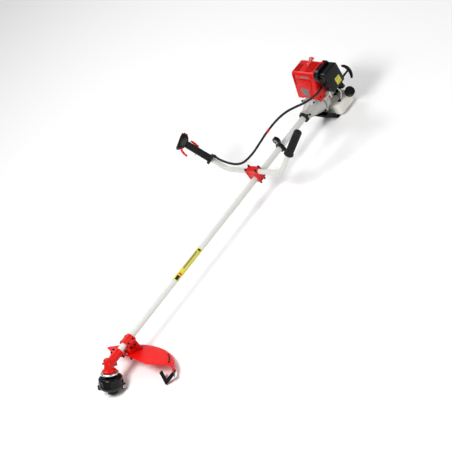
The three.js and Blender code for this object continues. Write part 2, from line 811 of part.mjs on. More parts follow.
// Each end's frame: +Z runs out along the bar and 0 is the bar's end.
const barHole = BAR_RADIUS + FIT;
node(leftEnd, 'left_grip', 'rubber', skin(turned('z', [
  [barHole, -GRIP_LENGTH],
  [GRIP_RADIUS + GRIP_FLANGE, -GRIP_LENGTH],
  [GRIP_RADIUS + GRIP_FLANGE, 3 * GRIP_FLANGE - GRIP_LENGTH],
  [GRIP_RADIUS - 1, 4 * GRIP_FLANGE - GRIP_LENGTH],
  [GRIP_RADIUS, -GRIP_LENGTH / 3],
  [GRIP_RADIUS, 0],
  [GRIP_RADIUS * 0.7, 2 * GRIP_FLANGE],
  [0, 2 * GRIP_FLANGE],
  [0, FIT],
  [barHole, FIT],
])));
node(rightEnd, 'throttle_grip', 'black', skin(turned('z', [
  [barHole, -THROTTLE_LENGTH],
  [THROTTLE_RADIUS + GRIP_FLANGE, -THROTTLE_LENGTH],
  [THROTTLE_RADIUS + GRIP_FLANGE, 3 * GRIP_FLANGE - THROTTLE_LENGTH],
  [THROTTLE_RADIUS, 3 * GRIP_FLANGE - THROTTLE_LENGTH],
  [THROTTLE_RADIUS, -FIT],
  [barHole, -FIT],
])));

// Throttle housing: -X is the finger side and +X the palm side.
const housingOutline = [
  [-HOUSING_FRONT, HOUSING_LONG - HOUSING_TAPER],
  [-HOUSING_FRONT, HOUSING_LONG * 0.45],
  [-THROTTLE_RADIUS, 0],
  [THROTTLE_RADIUS, 0],
  [HOUSING_BACK, HOUSING_TAPER],
  [HOUSING_BACK, HOUSING_LONG],
  [HOUSING_BACK - HOUSING_TAPER, HOUSING_LONG],
];
const triggerX = -HOUSING_FRONT + HOUSING_TAPER;
const triggerZ = HOUSING_LONG * 0.42;
const triggerSlot = TRIGGER_WIDTH + 2 * RUN;
const switchX = HOUSING_BACK;
const switchZ = HOUSING_LONG * 0.6;
node(rightEnd, 'throttle_housing', 'black', skin(cut(
  prism('xz', housingOutline, HOUSING_THICK, 3),
  block([4 * TRIGGER_THICK, triggerSlot, 3 * TRIGGER_THICK], [triggerX, 0, triggerZ - TRIGGER_THICK]),
  block(
    [SWITCH_HEIGHT, SWITCH_WIDTH + 2 * FIT, SWITCH_LENGTH + SWITCH_TRAVEL + 2 * FIT],
    [switchX, 0, switchZ + SWITCH_TRAVEL / 2],
  ),
)));

const trigger = group(rightEnd, [triggerX, 0, triggerZ - TRIGGER_THICK]);
trigger.rotation.y = TRIGGER_SPLAY * DEGREE;
node(trigger, 'throttle_trigger', 'red', skin(joined(
  rod('y', TRIGGER_THICK / 2, -TRIGGER_WIDTH / 2, TRIGGER_WIDTH / 2, SMALL),
  prism('xz', [
    [-TRIGGER_THICK / 2, 0],
    [-TRIGGER_THICK * 1.3, -TRIGGER_LENGTH * 0.45],
    [-TRIGGER_THICK * 0.9, -TRIGGER_LENGTH],
    [TRIGGER_THICK * 0.1, -TRIGGER_LENGTH],
    [-TRIGGER_THICK * 0.2, -TRIGGER_LENGTH * 0.45],
    [TRIGGER_THICK / 2, 0],
  ], TRIGGER_WIDTH),
)));
node(rightEnd, 'stop_switch', 'red', skin(block(
  [SWITCH_HEIGHT, SWITCH_WIDTH, SWITCH_LENGTH],
  [switchX + FIT, 0, switchZ],
)));
const lockout = group(rightEnd, [THROTTLE_RADIUS + LOCKOUT_THICK / 2 + FIT, 0, -LOCKOUT_LENGTH - 8]);
node(lockout, 'throttle_lockout', 'red', skin(prism('xz', [
  [-LOCKOUT_THICK / 2, 0],
  [LOCKOUT_THICK / 2, 0],
  [LOCKOUT_THICK * 1.4, LOCKOUT_LENGTH * 0.7],
  [LOCKOUT_THICK, LOCKOUT_LENGTH],
  [LOCKOUT_THICK / 2, LOCKOUT_LENGTH],
], LOCKOUT_WIDTH)));

// ---- harness clamp ----

const harness = group(machine, [harnessStation, 0, 0]);
node(harness, 'harness_clamp', 'black', skin(cut(
  joined(
    rod('x', HARNESS_RADIUS, 0, HARNESS_LONG),
    block([HARNESS_LONG, HARNESS_LUG_RADIUS, HARNESS_LUG_HEIGHT], [
      HARNESS_LONG / 2,
      0,
      HARNESS_LUG_HEIGHT / 2,
    ]),
    moved(rod('x', HARNESS_LUG_RADIUS, 0, HARNESS_LONG), 0, 0, HARNESS_LUG_HEIGHT),
  ),
  rod('x', TUBE_RADIUS + FIT, -PAST, HARNESS_LONG + PAST),
  moved(rod('x', HARNESS_EYE, -PAST, HARNESS_LONG + PAST, SMALL), 0, 0, HARNESS_LUG_HEIGHT),
)));

// ---- engine: clutch housing, clutch and drive ----

node(machine, 'tube_collar', 'rubber', skin(cut(
  rod('x', COLLAR_RADIUS, clutchStart - COLLAR_LONG - FIT, clutchStart - FIT),
  rod('x', TUBE_RADIUS + FIT, TUBE_START, TUBE_END),
)));

const drumRadius = CLUTCH_RADIUS * 0.82 - CLUTCH_WALL - 2 * RUN;
const rotorRadius = drumRadius - DRUM_WALL - 2 * RUN;
const drumEnd = clutchEnd - 2 * CLUTCH_WALL;
const drumStart = drumEnd - DRUM_DEPTH;
const socketEnd = TUBE_END + FIT;
const clutchLugs = [];
for (const y of [-1, 1]) {
  for (const z of [-1, 1]) {
    const lug = rod('x', CLUTCH_WALL * 2, clutchEnd - CLUTCH_WALL * 2, clutchEnd, SMALL);
    clutchLugs.push(moved(lug, 0, y * CLUTCH_RADIUS * 0.75, z * CLUTCH_RADIUS * 0.75));
  }
}
node(machine, 'clutch_housing', 'cast', skin(cut(
  joined(
    turned('x', [
      [0, clutchStart],
      [CLUTCH_NECK, clutchStart],
      [CLUTCH_NECK, clutchStart + CLUTCH_NECK],
      [CLUTCH_RADIUS * 0.82, drumStart - CLUTCH_WALL],
      [CLUTCH_RADIUS, clutchEnd - CLUTCH_WALL * 3],
      [CLUTCH_RADIUS, clutchEnd],
      [0, clutchEnd],
    ]),
    ...clutchLugs,
  ),
  rod('x', TUBE_RADIUS + FIT, clutchStart - PAST, socketEnd),
  rod('x', TUBE_RADIUS - 2, clutchStart, clutchEnd),
  rod('x', drumRadius + RUN, drumStart - RUN, clutchEnd + PAST),
)));
node(machine, 'clutch_drum', 'steel', skin(turned('x', [
  [SHAFT_RADIUS + FIT, shaftEnd - BUSH_LENGTH],
  [TUBE_RADIUS - 3, shaftEnd - BUSH_LENGTH],
  [TUBE_RADIUS - 3, drumStart],
  [drumRadius, drumStart],
  [drumRadius, drumEnd],
  [drumRadius - DRUM_WALL, drumEnd],
  [drumRadius - DRUM_WALL, drumStart + DRUM_WALL],
  [SHAFT_RADIUS + FIT, drumStart + DRUM_WALL],
])));

const rotorStart = drumStart + DRUM_WALL + RUN;
const rotorShoes = [0, 180].map((turn) => tilted(
  rod('x', rotorRadius, rotorStart + 4, drumEnd).intersect(prism('yz', [
    [rotorRadius * 0.45, -rotorRadius * 0.8],
    [rotorRadius * 1.2, -rotorRadius * 0.8],
    [rotorRadius * 1.2, rotorRadius * 0.8],
    [rotorRadius * 0.45, rotorRadius * 0.8],
  ], 4 * TUBE_END)),
  turn,
  0,
  0,
));
const rotorBar = block(
  [DRUM_DEPTH / 2, rotorRadius * 1.3, 2 * MAIN_JOURNAL],
  [(rotorStart + 4 + drumEnd) / 2, 0, 0],
);
const journalHole = rod('x', MAIN_JOURNAL + FIT, rotorStart - PAST, clutchEnd + CASE_LONG, SMALL);
node(machine, 'clutch_rotor', 'steel', skin(cut(
  joined(...rotorShoes, rotorBar, rod('x', MAIN_JOURNAL * 2, rotorStart + 4, drumEnd, SMALL)),
  journalHole,
)));

// ---- engine: crank, cylinder, flywheel ----

const fanStart = clutchEnd + FIT;
const flywheelRadius = fanRadius - FAN_WALL - 5;
const fanEnd = fanStart + FAN_LONG;
node(machine, 'fan_housing', 'cast', skin(cut(
  rod('x', fanRadius, fanStart, fanEnd, FINE),
  rod('x', fanRadius - FAN_WALL, fanStart - PAST, fanEnd - FAN_WALL, FINE),
  rod('x', MAIN_JOURNAL + RUN, fanStart, fanEnd + PAST, SMALL),
)));

const flyStart = fanStart + RUN;
const flyEnd = fanEnd - FAN_WALL - RUN;
const fins = [];
for (let i = 0; i < FIN_COUNT; i += 1) {
  const fin = block(
    [flyEnd - flyStart, 2, flywheelRadius * 0.35],
    [(flyStart + flyEnd) / 2, 0, flywheelRadius * 0.8],
  );
  fins.push(tilted(fin, (360 * i) / FIN_COUNT, 0, 0));
}
node(machine, 'flywheel', 'cast', skin(cut(
  joined(
    rod('x', flywheelRadius, flyEnd - FAN_WALL, flyEnd),
    rod('x', flywheelRadius * 0.65, flyStart, flyEnd),
    ...fins,
  ),
  journalHole,
)));

const caseStart = fanEnd + FIT;
const caseEnd = caseStart + CASE_LONG;
const boreX = (caseStart + caseEnd) / 2;
node(machine, 'crankcase', 'cast', skin(cut(
  joined(
    rod('x', CRANK_RADIUS, caseStart, caseEnd),
    moved(rod('z', BORE_RADIUS + 9, 0, CYLINDER_BASE - FIT), boreX, 0, 0),
    block([CASE_LONG * 0.8, 1.7 * CRANK_RADIUS, CRANK_WALL], [boreX, 0, CYLINDER_BASE - FIT - 4]),
  ),
  rod('x', CRANK_RADIUS - CRANK_WALL, caseStart + CRANK_WALL, caseEnd - CRANK_WALL),
  rod('x', MAIN_JOURNAL + RUN, caseStart - PAST, caseEnd + PAST, SMALL),
  moved(rod('z', BORE_RADIUS + FIT, 0, CYLINDER_BASE + PAST), boreX, 0, 0),
)));

const webGap = PIN_LONG / 2;
const crankThrow = moved(rod('x', PIN_RADIUS, -webGap - 1, webGap + 1, SMALL), boreX, 0, CRANK_THROW);
node(machine, 'crankshaft', 'steel', skin(joined(
  rod('x', MAIN_JOURNAL, rotorStart + 4, boreX - webGap, SMALL),
  rod('x', WEB_RADIUS, boreX - webGap - WEB_THICK, boreX - webGap),
  crankThrow,
  rod('x', WEB_RADIUS, boreX + webGap, boreX + webGap + WEB_THICK),
  rod('x', MAIN_JOURNAL, boreX + webGap, caseEnd + 6, SMALL),
)));

const cylinderFins = [];
const finPitch = (CYLINDER_TOP - CYLINDER_BASE - 2 * FIN_THICK) / CYLINDER_FINS;
for (let i = 1; i <= CYLINDER_FINS; i += 1) {
  cylinderFins.push(block([2 * FIN_HALF - 12, 2 * FIN_HALF, FIN_THICK], [0, 0, i * finPitch]));
}
const cylinderTall = CYLINDER_TOP - CYLINDER_BASE;
const cylinder = group(machine, [boreX, 0, CYLINDER_BASE]);
const portZ = INTAKE_Z - CYLINDER_BASE;
node(cylinder, 'cylinder', 'cast', skin(cut(
  joined(
    rod('z', BORE_RADIUS + 8, 0, cylinderTall),
    block([54, 54, WEB_THICK], [0, 0, WEB_THICK / 2]),
    ...cylinderFins,
  ),
  rod('z', BORE_RADIUS, -PAST, cylinderTall - CRANK_WALL),
  rod('z', PLUG_RADIUS - 1 + FIT, 0, cylinderTall + PAST, SMALL),
  moved(rod('y', 7, -2 * FIN_HALF, 0, SMALL), 0, 0, portZ),
)));
node(cylinder, 'piston', 'cast', skin(moved(cut(
  rod('z', BORE_RADIUS - FIT, 0, PISTON_LONG),
  rod('z', BORE_RADIUS - 4, -PAST, PISTON_LONG - CRANK_WALL),
), 0, 0, cylinderTall - CRANK_WALL - PISTON_LONG - 5)));
node(cylinder, 'spark_plug', 'white', skin(joined(
  rod('z', PLUG_RADIUS - 1, cylinderTall - CRANK_WALL - 2, cylinderTall + 1, SMALL),
  rod('z', PLUG_RADIUS + 3, cylinderTall + FIT, cylinderTall + 6, 6),
  rod('z', PLUG_RADIUS - 2, cylinderTall + 5, cylinderTall + PLUG_HEIGHT, SMALL),
)));

// ---- engine covers ----

const shroudFront = clutchEnd - SHROUD_OVER_CLUTCH;
const shroudBack = shroudFront + SHROUD_LONG;
const intakeX = clutchEnd + INTAKE_BEHIND;
const shroudSide = [
  [shroudFront, SHROUD_BOTTOM],
  [shroudBack, SHROUD_BOTTOM],
  [shroudBack, SHROUD_TOP - SHROUD_CHAMFER],
  [shroudBack - SHROUD_CHAMFER, SHROUD_TOP],
  [shroudFront + SHROUD_LEAN + 10, SHROUD_TOP],
  [shroudFront + SHROUD_LEAN, SHROUD_TOP - 10],
];
const shroudInside = [
  [shroudFront + SHROUD_SHEET, SHROUD_BOTTOM - PAST],
  [shroudBack - SHROUD_SHEET, SHROUD_BOTTOM - PAST],
  [shroudBack - SHROUD_SHEET, SHROUD_TOP - SHROUD_CHAMFER - 1],
  [shroudBack - SHROUD_CHAMFER - 1, SHROUD_TOP - SHROUD_SHEET],
  [shroudFront + SHROUD_LEAN + 11, SHROUD_TOP - SHROUD_SHEET],
  [shroudFront + SHROUD_LEAN + 2, SHROUD_TOP - 12],
];
const shroudWide = SHROUD_RIGHT - SHROUD_LEFT;
const shroudMiddle = (SHROUD_RIGHT + SHROUD_LEFT) / 2;
const slots = [];
for (let i = 0; i < SLOT_COUNT; i += 1) {
  slots.push(block([34, 7, 3 * SHROUD_SHEET + 4], [
    shroudFront + SHROUD_LEAN + 32,
    SHROUD_RIGHT - 18 - 14 * i,
    SHROUD_TOP,
  ]));
}
const endSkin = 2 * FIT + SHROUD_SHEET;
const bootHole = moved(
  rod('z', BOOT_RADIUS + RUN, SHROUD_TOP - 20, SHROUD_TOP + PAST),
  boreX,
  0,
  0,
);
node(machine, 'engine_shroud', 'red', skin(cut(
  moved(prism('xz', shroudSide, shroudWide, 6), 0, shroudMiddle, 0),
  moved(prism('xz', shroudInside, shroudWide - 2 * endSkin), 0, shroudMiddle, 0),
  block([86, 30, 80], [intakeX + 14, SHROUD_LEFT, INTAKE_Z - 2]),
  block([84, 30, 76], [boreX, SHROUD_RIGHT, MUFFLER_Z - 6]),
  bootHole,
  rod('x', CLUTCH_RADIUS + SHROUD_SHEET, shroudFront - PAST, clutchEnd),
  rod('x', fanRadius + SHROUD_SHEET, clutchEnd - PAST, shroudBack + PAST),
  ...slots,
)));
node(machine, 'spark_boot', 'red', skin(moved(cut(
  joined(
    rod('z', BOOT_RADIUS, 0, 24, SMALL),
    rod('z', BOOT_RADIUS, 24 - PAST, 32, SMALL, BOOT_RADIUS * 0.55),
  ),
  rod('z', PLUG_RADIUS - 2 + FIT, -PAST, 18, SMALL),
), boreX, 0, CYLINDER_TOP + 18)));

const starterStart = caseEnd + FIT;
const starterEnd = starterStart + STARTER_LONG;
const postEnd = caseEnd + 8;
const starterVents = [];
for (let i = 0; i < 2 * SLOT_COUNT; i += 1) {
  const vent = block([6 * STARTER_WALL, 5, 18], [starterEnd, 0, STARTER_RADIUS * 0.62]);
  starterVents.push(tilted(vent, (360 * (i + 0.5)) / (2 * SLOT_COUNT), 0, 0));
}
const ropeAt = (body) => moved(body, 0, ROPE_OFFSET, ROPE_LIFT);
node(machine, 'starter_cover', 'black', skin(cut(
  joined(
    cut(
      turned('x', [
        [0, starterStart],
        [STARTER_RADIUS, starterStart],
        [STARTER_RADIUS, starterEnd - 14],
        [STARTER_RADIUS - 12, starterEnd],
        [0, starterEnd],
      ], FINE),
      turned('x', [
        [0, starterStart - PAST],
        [STARTER_RADIUS - STARTER_WALL, starterStart - PAST],
        [STARTER_RADIUS - STARTER_WALL, starterEnd - 15],
        [STARTER_RADIUS - 13 - STARTER_WALL, starterEnd - STARTER_WALL],
        [0, starterEnd - STARTER_WALL],
      ], FINE),
      ...starterVents,
    ),
    rod('x', MAIN_JOURNAL, postEnd, starterEnd - PAST, SMALL),
    ropeAt(rod('x', HANDLE_STEM + 3, starterEnd - 6, starterEnd + 5, SMALL)),
  ),
  ropeAt(rod('x', ROPE_RADIUS + 2 * FIT, starterEnd - 10, starterEnd + 10, TINY)),
)));

const pulleyStart = postEnd + 6;
node(machine, 'starter_pulley', 'white', skin(turned('x', [
  [MAIN_JOURNAL + FIT, pulleyStart],
  [PULLEY_RADIUS, pulleyStart],
  [PULLEY_RADIUS - 4, pulleyStart + PULLEY_THICK / 2],
  [PULLEY_RADIUS, pulleyStart + PULLEY_THICK],
  [MAIN_JOURNAL + FIT, pulleyStart + PULLEY_THICK],
])));

const stemStart = starterEnd + 5 + FIT;
const stemEnd = stemStart + HANDLE_STEM_LONG;
const ropeStart = starterEnd - 16;
const ropeEnd = stemEnd - 8;
node(machine, 'starter_rope', 'rope', skin(ropeAt(rod('x', ROPE_RADIUS, ropeStart, ropeEnd, TINY))));
const handleBar = new THREE.QuadraticBezierCurve3(
  new THREE.Vector3(-HANDLE_SAG, 0, -HANDLE_SPAN / 2),
  new THREE.Vector3(HANDLE_SAG, 0, 0),
  new THREE.Vector3(-HANDLE_SAG, 0, HANDLE_SPAN / 2),
);
const starterGrip = group(machine, [stemEnd, ROPE_OFFSET, ROPE_LIFT]);
starterGrip.rotation.x = -HANDLE_TURN * DEGREE;
node(starterGrip, 'starter_handle', 'black', skin(cut(
  joined(
    solid(pipe(handleBar, HANDLE_RADIUS, 0, 14, 5)),
    rod('x', HANDLE_STEM, -HANDLE_STEM_LONG, 0, SMALL),
  ),
  rod('x', ROPE_RADIUS + FIT, -HANDLE_STEM_LONG - PAST, -8 + FIT, TINY),
)));

// ---- intake: carburettor, air filter, primer ----

const [carbLong, carbDeep, carbTall] = CARB_SIZE;
const carb = group(machine, [intakeX, CARB_NEAR, INTAKE_Z]);
const carbTop = carbTall * 0.35;
const carbBottom = carbTop - carbTall;
node(carb, 'carburettor', 'cast', skin(cut(
  joined(
    block([carbLong, carbDeep, carbTall], [0, -carbDeep / 2, (carbTop + carbBottom) / 2]),
    block([carbLong + 10, 8, carbTall * 0.6], [0, -4, 0]),
  ),
  rod('y', 8, -carbDeep - PAST, PAST, SMALL),
)));
const lever = group(carb, [-carbLong / 2 - FIT, -carbDeep * 0.4, 0]);
node(lever, 'carb_lever', 'steel', skin(joined(
  rod('x', 5, -6, 0, SMALL),
  prism('yz', [[-4, 0], [4, 0], [3, 24], [-3, 24]], 2.5).translate([-4, 0, 0]),
)));
node(carb, 'primer_bulb', 'black', skin(moved(turned('z', [
  [0, -14],
  [BULB_RADIUS * 0.7, -12],
  [BULB_RADIUS, -6],
  [BULB_RADIUS, -FIT],
  [0, -FIT],
], SMALL), 0, -carbDeep / 2, carbBottom)));

const filterStart = clutchEnd + FILTER_BEHIND;
const filterEnd = filterStart + FILTER_LONG;
const filterTop = FILTER_BOTTOM + FILTER_TALL;
const filterX = (filterStart + filterEnd) / 2;
const filterZ = (FILTER_BOTTOM + filterTop) / 2;
const coverBack = FILTER_FACE + FILTER_DEPTH;
const filter = group(machine, [filterX, 0, filterZ]);
const faceOutline = rounded(FILTER_LONG, FILTER_TALL, 12);
const innerOutline = rounded(FILTER_LONG - 2 * FILTER_WALL, FILTER_TALL - 2 * FILTER_WALL, 10);
node(filter, 'filter_cover', 'black', skin(cut(
  moved(prism('xz', faceOutline, FILTER_DEPTH, 4), 0, coverBack - FILTER_DEPTH / 2, 0),
  moved(
    prism('xz', innerOutline, FILTER_DEPTH),
    0,
    coverBack - FILTER_DEPTH / 2 + 2 * FILTER_WALL,
    0,
  ),
)));
node(filter, 'filter_element', 'rubber', skin(moved(
  prism('xz', rounded(FILTER_LONG - 14, FILTER_TALL - 14, 8), FILTER_DEPTH - 10),
  0,
  coverBack - (FILTER_DEPTH - 10) / 2 - FIT,
  0,
)));
const baseNear = coverBack + FIT + BASE_THICK;
const scoopZ = (FILTER_TALL - SCOOP_TALL) / 2;
node(filter, 'filter_base', 'black', skin(cut(
  joined(
    moved(prism('xz', faceOutline, BASE_THICK), 0, coverBack + FIT + BASE_THICK / 2, 0),
    moved(
      prism('xz', rounded(FILTER_LONG, SCOOP_TALL, 14), SCOOP_DEEP, 5),
      -SCOOP_AHEAD,
      baseNear + SCOOP_DEEP / 2 - PAST,
      scoopZ,
    ),
  ),
  moved(rod('y', 8, coverBack, baseNear + PAST, SMALL), intakeX - filterX, 0, INTAKE_Z - filterZ),
)));
const knobPlace = [filterX + FILTER_LONG * 0.2, baseNear + SCOOP_DEEP / 2, filterTop + FIT];
const filterKnob = group(machine, knobPlace);
node(filterKnob, 'filter_knob', 'red', skin(joined(
  rod('z', FILTER_KNOB_RADIUS * 0.6, 0, FILTER_KNOB_LONG * 0.5, SMALL),
  rod('z', FILTER_KNOB_RADIUS, FILTER_KNOB_LONG * 0.4, FILTER_KNOB_LONG, SMALL),
)));
const choke = group(machine, [filterEnd + FIT, coverBack + BASE_THICK / 2, FILTER_BOTTOM + 22]);
node(choke, 'choke_lever', 'black', skin(joined(
  rod('x', CHOKE_RADIUS, 0, 7, SMALL),
  block([6, 10, CHOKE_ARM], [3.5, 0, -CHOKE_ARM / 2]),
)));

// ---- exhaust ----

const [mufflerLong, mufflerDeep, mufflerTall] = MUFFLER_SIZE;
const exhaust = group(machine, [boreX, MUFFLER_NEAR + mufflerDeep / 2, MUFFLER_Z]);
const pipeStart = mufflerLong / 2 - 2 * MUFFLER_SHEET;
const pipeEnd = mufflerLong / 2 + OUTLET_LONG;
const outletAt = (body) => moved(body, 0, mufflerDeep / 4, -mufflerTall / 4);
node(exhaust, 'muffler', 'steel', skin(cut(
  joined(
    prism('xz', rounded(mufflerLong, mufflerTall, 10), mufflerDeep, 5),
    outletAt(rod('x', OUTLET_RADIUS, pipeStart, pipeEnd, SMALL)),
  ),
  prism('xz', rounded(
    mufflerLong - 2 * MUFFLER_SHEET,
    mufflerTall - 2 * MUFFLER_SHEET,
    8,
  ), mufflerDeep - 2 * MUFFLER_SHEET, 3),
  outletAt(rod('x', OUTLET_RADIUS - MUFFLER_SHEET, 0, pipeEnd + PAST, SMALL)),
)));

// ---- fuel tank ----

const tankBottom = TANK_CLEAR - floorDrop;
const tankX = clutchEnd + TANK_BEHIND + TANK_LONG / 2;
const tankZ = (TANK_TOP + tankBottom) / 2;
const tankTall = TANK_TOP - tankBottom;
const tank = group(machine, [tankX, 0, tankZ]);

function tankShape(shrink) {
  const outline = rounded(TANK_LONG - 2 * shrink, 2 * (TANK_HALF - shrink), TANK_ROUND - shrink);
  return prism('xy', outline, tankTall - 2 * shrink, 8 - shrink);
}

// The filler neck leans out to the user's left at the rear corner.
const fillerX = TANK_LONG / 2 - 18;
const fillerY = -TANK_HALF + 8;
function onFiller(body) {
  return moved(tilted(body, NECK_LEAN, 0, 0), fillerX, fillerY, tankTall / 2 - 12);
}
const fillerTall = 27;
node(tank, 'fuel_tank', 'tank', skin(cut(
  joined(tankShape(0), onFiller(rod('z', NECK_OUT_RADIUS, -8, fillerTall))),
  tankShape(TANK_WALL),
  onFiller(rod('z', NECK_IN_RADIUS, -14, fillerTall + PAST)),
)));
node(tank, 'fuel_cap', 'black', skin(onFiller(cut(
  rod('z', CAP_RADIUS, fillerTall - 10, fillerTall - 10 + CAP_HEIGHT, SMALL),
  rod('z', NECK_OUT_RADIUS + RUN, fillerTall - 11, fillerTall + RUN),
))));

// ---- tank stand ----

const standFront = clutchEnd - STAND_OVER_CLUTCH;
const footStart = clutchEnd + STAND_BEHIND;
const footEnd = footStart + STAND_FOOT;
const [tailLong, tailTall] = STAND_TAIL;
const standSheet = [
  [standFront, -CLUTCH_RADIUS - STAND_SHEET - PAST],
  [footStart, -floorDrop],
  [footEnd, -floorDrop],
  [footEnd + tailLong, tailTall - floorDrop],
  [footEnd + tailLong - STAND_SHEET, tailTall - floorDrop],
  [footEnd - STAND_SHEET / 2, STAND_SHEET - floorDrop],
  [footStart + STAND_SHEET / 2, STAND_SHEET - floorDrop],
  [standFront + STAND_SHEET, -CLUTCH_RADIUS - STAND_SHEET + PAST],
];
const railWindow = block([STAND_FOOT - 4 * STAND_SHEET, 2 * (STAND_HALF - STAND_RAIL), everyHeight], [
  (footStart + footEnd) / 2,
  0,
  -floorDrop,
]);
node(machine, 'tank_stand', 'black', skin(cut(
  prism('xz', standSheet, 2 * STAND_HALF),
  railWindow,
)));

// ---- throttle cable ----

const cableRoute = [
  [barStation - 2, 222, 98],
  [barStation - 5, 190, 80],
  [barStation - 5, 140, 67],
  [barStation, 92, 63],
  [barStation + 17, 54, 69],
  [barStation + 59, 26, 84],
  [barStation + 107, 13, 99],
  [harnessStation - 22, 5, 112],
  [harnessStation + 28, -2, 119],
  [harnessStation + 78, -9, 121],
  [harnessStation + 128, -20, 116],
  [clutchEnd - 142, -38, 106],
  [clutchEnd - 107, -58, 99],
  [clutchEnd - 75, -76, 98],
  [clutchEnd - 45, -88, 99],
  [clutchEnd - 19, -90, 100],
  [clutchEnd + 5, -83, 98],
].map((point) => new THREE.Vector3(...point));
const cableCurve = new THREE.CatmullRomCurve3(cableRoute);
node(machine, 'throttle_cable', 'black', pipe(cableCurve, CABLE_RADIUS, 0, CABLE_STEPS, 4));

// ---- stand the whole trimmer on the floor, its box centred on the origin ----

trimmer.updateMatrixWorld(true);
const box = new THREE.Box3().setFromObject(trimmer, true);
machine.position.set(-(box.min.x + box.max.x) / 2, -(box.min.y + box.max.y) / 2, floorDrop);

export default trimmer;
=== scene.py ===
"""Petrol string trimmer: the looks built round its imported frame.

Shapes are built in millimetres, each in the frame of the part it belongs to, and TUBE and the
matrices made from it turn them into metres. +X runs along the tube to the engine, +Z is up.
"""
import json
import math
from math import cos, pi, radians, sin

import bmesh
import bpy
from mathutils import Matrix, Vector


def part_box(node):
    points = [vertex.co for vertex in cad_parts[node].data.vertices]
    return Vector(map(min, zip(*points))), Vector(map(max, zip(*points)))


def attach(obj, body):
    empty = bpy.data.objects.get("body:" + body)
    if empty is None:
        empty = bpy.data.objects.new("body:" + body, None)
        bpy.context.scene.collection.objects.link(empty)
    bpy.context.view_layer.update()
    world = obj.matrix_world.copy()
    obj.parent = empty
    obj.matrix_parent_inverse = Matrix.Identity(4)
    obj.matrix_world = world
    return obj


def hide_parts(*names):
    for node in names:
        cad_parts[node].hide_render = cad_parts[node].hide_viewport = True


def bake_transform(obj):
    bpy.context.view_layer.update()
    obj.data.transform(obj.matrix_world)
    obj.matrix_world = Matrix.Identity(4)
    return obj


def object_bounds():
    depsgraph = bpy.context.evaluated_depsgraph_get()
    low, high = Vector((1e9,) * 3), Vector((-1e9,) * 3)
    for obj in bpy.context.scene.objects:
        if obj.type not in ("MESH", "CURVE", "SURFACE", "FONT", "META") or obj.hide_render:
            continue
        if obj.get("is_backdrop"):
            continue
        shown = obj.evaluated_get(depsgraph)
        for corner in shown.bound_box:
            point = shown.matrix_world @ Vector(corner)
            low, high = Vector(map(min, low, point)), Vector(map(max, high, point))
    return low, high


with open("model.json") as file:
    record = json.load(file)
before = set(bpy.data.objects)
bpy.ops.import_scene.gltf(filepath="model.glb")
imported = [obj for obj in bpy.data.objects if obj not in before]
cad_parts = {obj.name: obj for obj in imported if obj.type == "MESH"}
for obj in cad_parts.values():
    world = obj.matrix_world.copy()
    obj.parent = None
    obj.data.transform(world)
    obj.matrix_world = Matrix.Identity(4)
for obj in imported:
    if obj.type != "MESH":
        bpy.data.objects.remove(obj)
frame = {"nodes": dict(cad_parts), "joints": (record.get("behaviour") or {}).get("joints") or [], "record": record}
cad_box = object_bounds()

MM = 0.001
JOINTS = {joint["name"]: joint for joint in frame["joints"]}


def shift(x, y, z):
    return Matrix.Translation((x, y, z))


def turn(degrees, axis):
    return Matrix.Rotation(radians(degrees), 4, axis)


def millimetres_at(point):
    """A frame in millimetres at a point given in metres."""
    return Matrix.Translation(point) @ Matrix.Scale(MM, 4)


def on_arc(radius, degrees):
    return radius * cos(radians(degrees)), radius * sin(radians(degrees))


def placed(name, data):
    """A new object in the scene."""
    thing = bpy.data.objects.new(name, data)
    bpy.context.scene.collection.objects.link(thing)
    return thing


# ---- frames of the part ----

HEAD_LEAN = 28
BAR_ROLL = -6
LEAN_RIGHT = -9
LEAN_LEFT = 39
BAR_STATION = 1143
BAR_HEIGHT = 33
BAR_STRAIGHT = 153
BAR_BEND = 55
BAR_BEND_ANGLE = 56
BAR_RISE = 193
BAR_START = 10
CLUTCH_END = 1637
GUARD_SHIFT = -50
HARNESS_STATION = 1322

TUBE = millimetres_at(JOINTS["head_spin"]["pos_m"])
HEAD = TUBE @ turn(HEAD_LEAN, "Y")
GUARD = HEAD @ shift(0, GUARD_SHIFT, 0)
HANDLE = TUBE @ turn(BAR_ROLL, "X")
CLAMP = HANDLE @ shift(BAR_STATION, 0, 0)
ENGINE = TUBE @ shift(CLUTCH_END, 0, 0)
UP = (0, 0, 1)
DOWN = (0, 0, -1)
ALONG_X = turn(90, "Y")  # a shape built round +Z comes to lie round +X
UPRIGHT = turn(90, "X")  # an outline in X and Y comes to stand in X and Z
CROSSWISE = Matrix(((0, 0, 1, 0), (1, 0, 0, 0), (0, 1, 0, 0), (0, 0, 0, 1)))  # in Y and Z


def half_frame(lean):
    return HANDLE @ shift(BAR_STATION, 0, BAR_HEIGHT) @ turn(lean, "Y")


def bar_points(side, start, rise, count=60):
    """The middle line of one half of the handlebar, from `start` outwards."""
    bend = radians(BAR_BEND_ANGLE)
    arc = BAR_BEND * bend
    straight = BAR_STRAIGHT - start
    points = []
    for i in range(count + 1):
        travelled = i / count * (straight + arc + rise)
        angle = min(max(travelled - straight, 0) / BAR_BEND, bend)
        beyond = max(travelled - straight - arc, 0)
        out = start + min(travelled, straight)
        out += BAR_BEND * sin(angle) + beyond * cos(angle)
        up = BAR_BEND * (1 - cos(angle)) + beyond * sin(angle)
        points.append((0, side * out, up))
    return points


def end_frame(side, lean):
    tip = bar_points(side, BAR_START, BAR_RISE)[-1]
    return half_frame(lean) @ shift(*tip) @ turn(-side * (90 - BAR_BEND_ANGLE), "X")


RIGHT_END = end_frame(1, LEAN_RIGHT)
LEFT_END = end_frame(-1, LEAN_LEFT)

# ---- camera, lights and floor ----

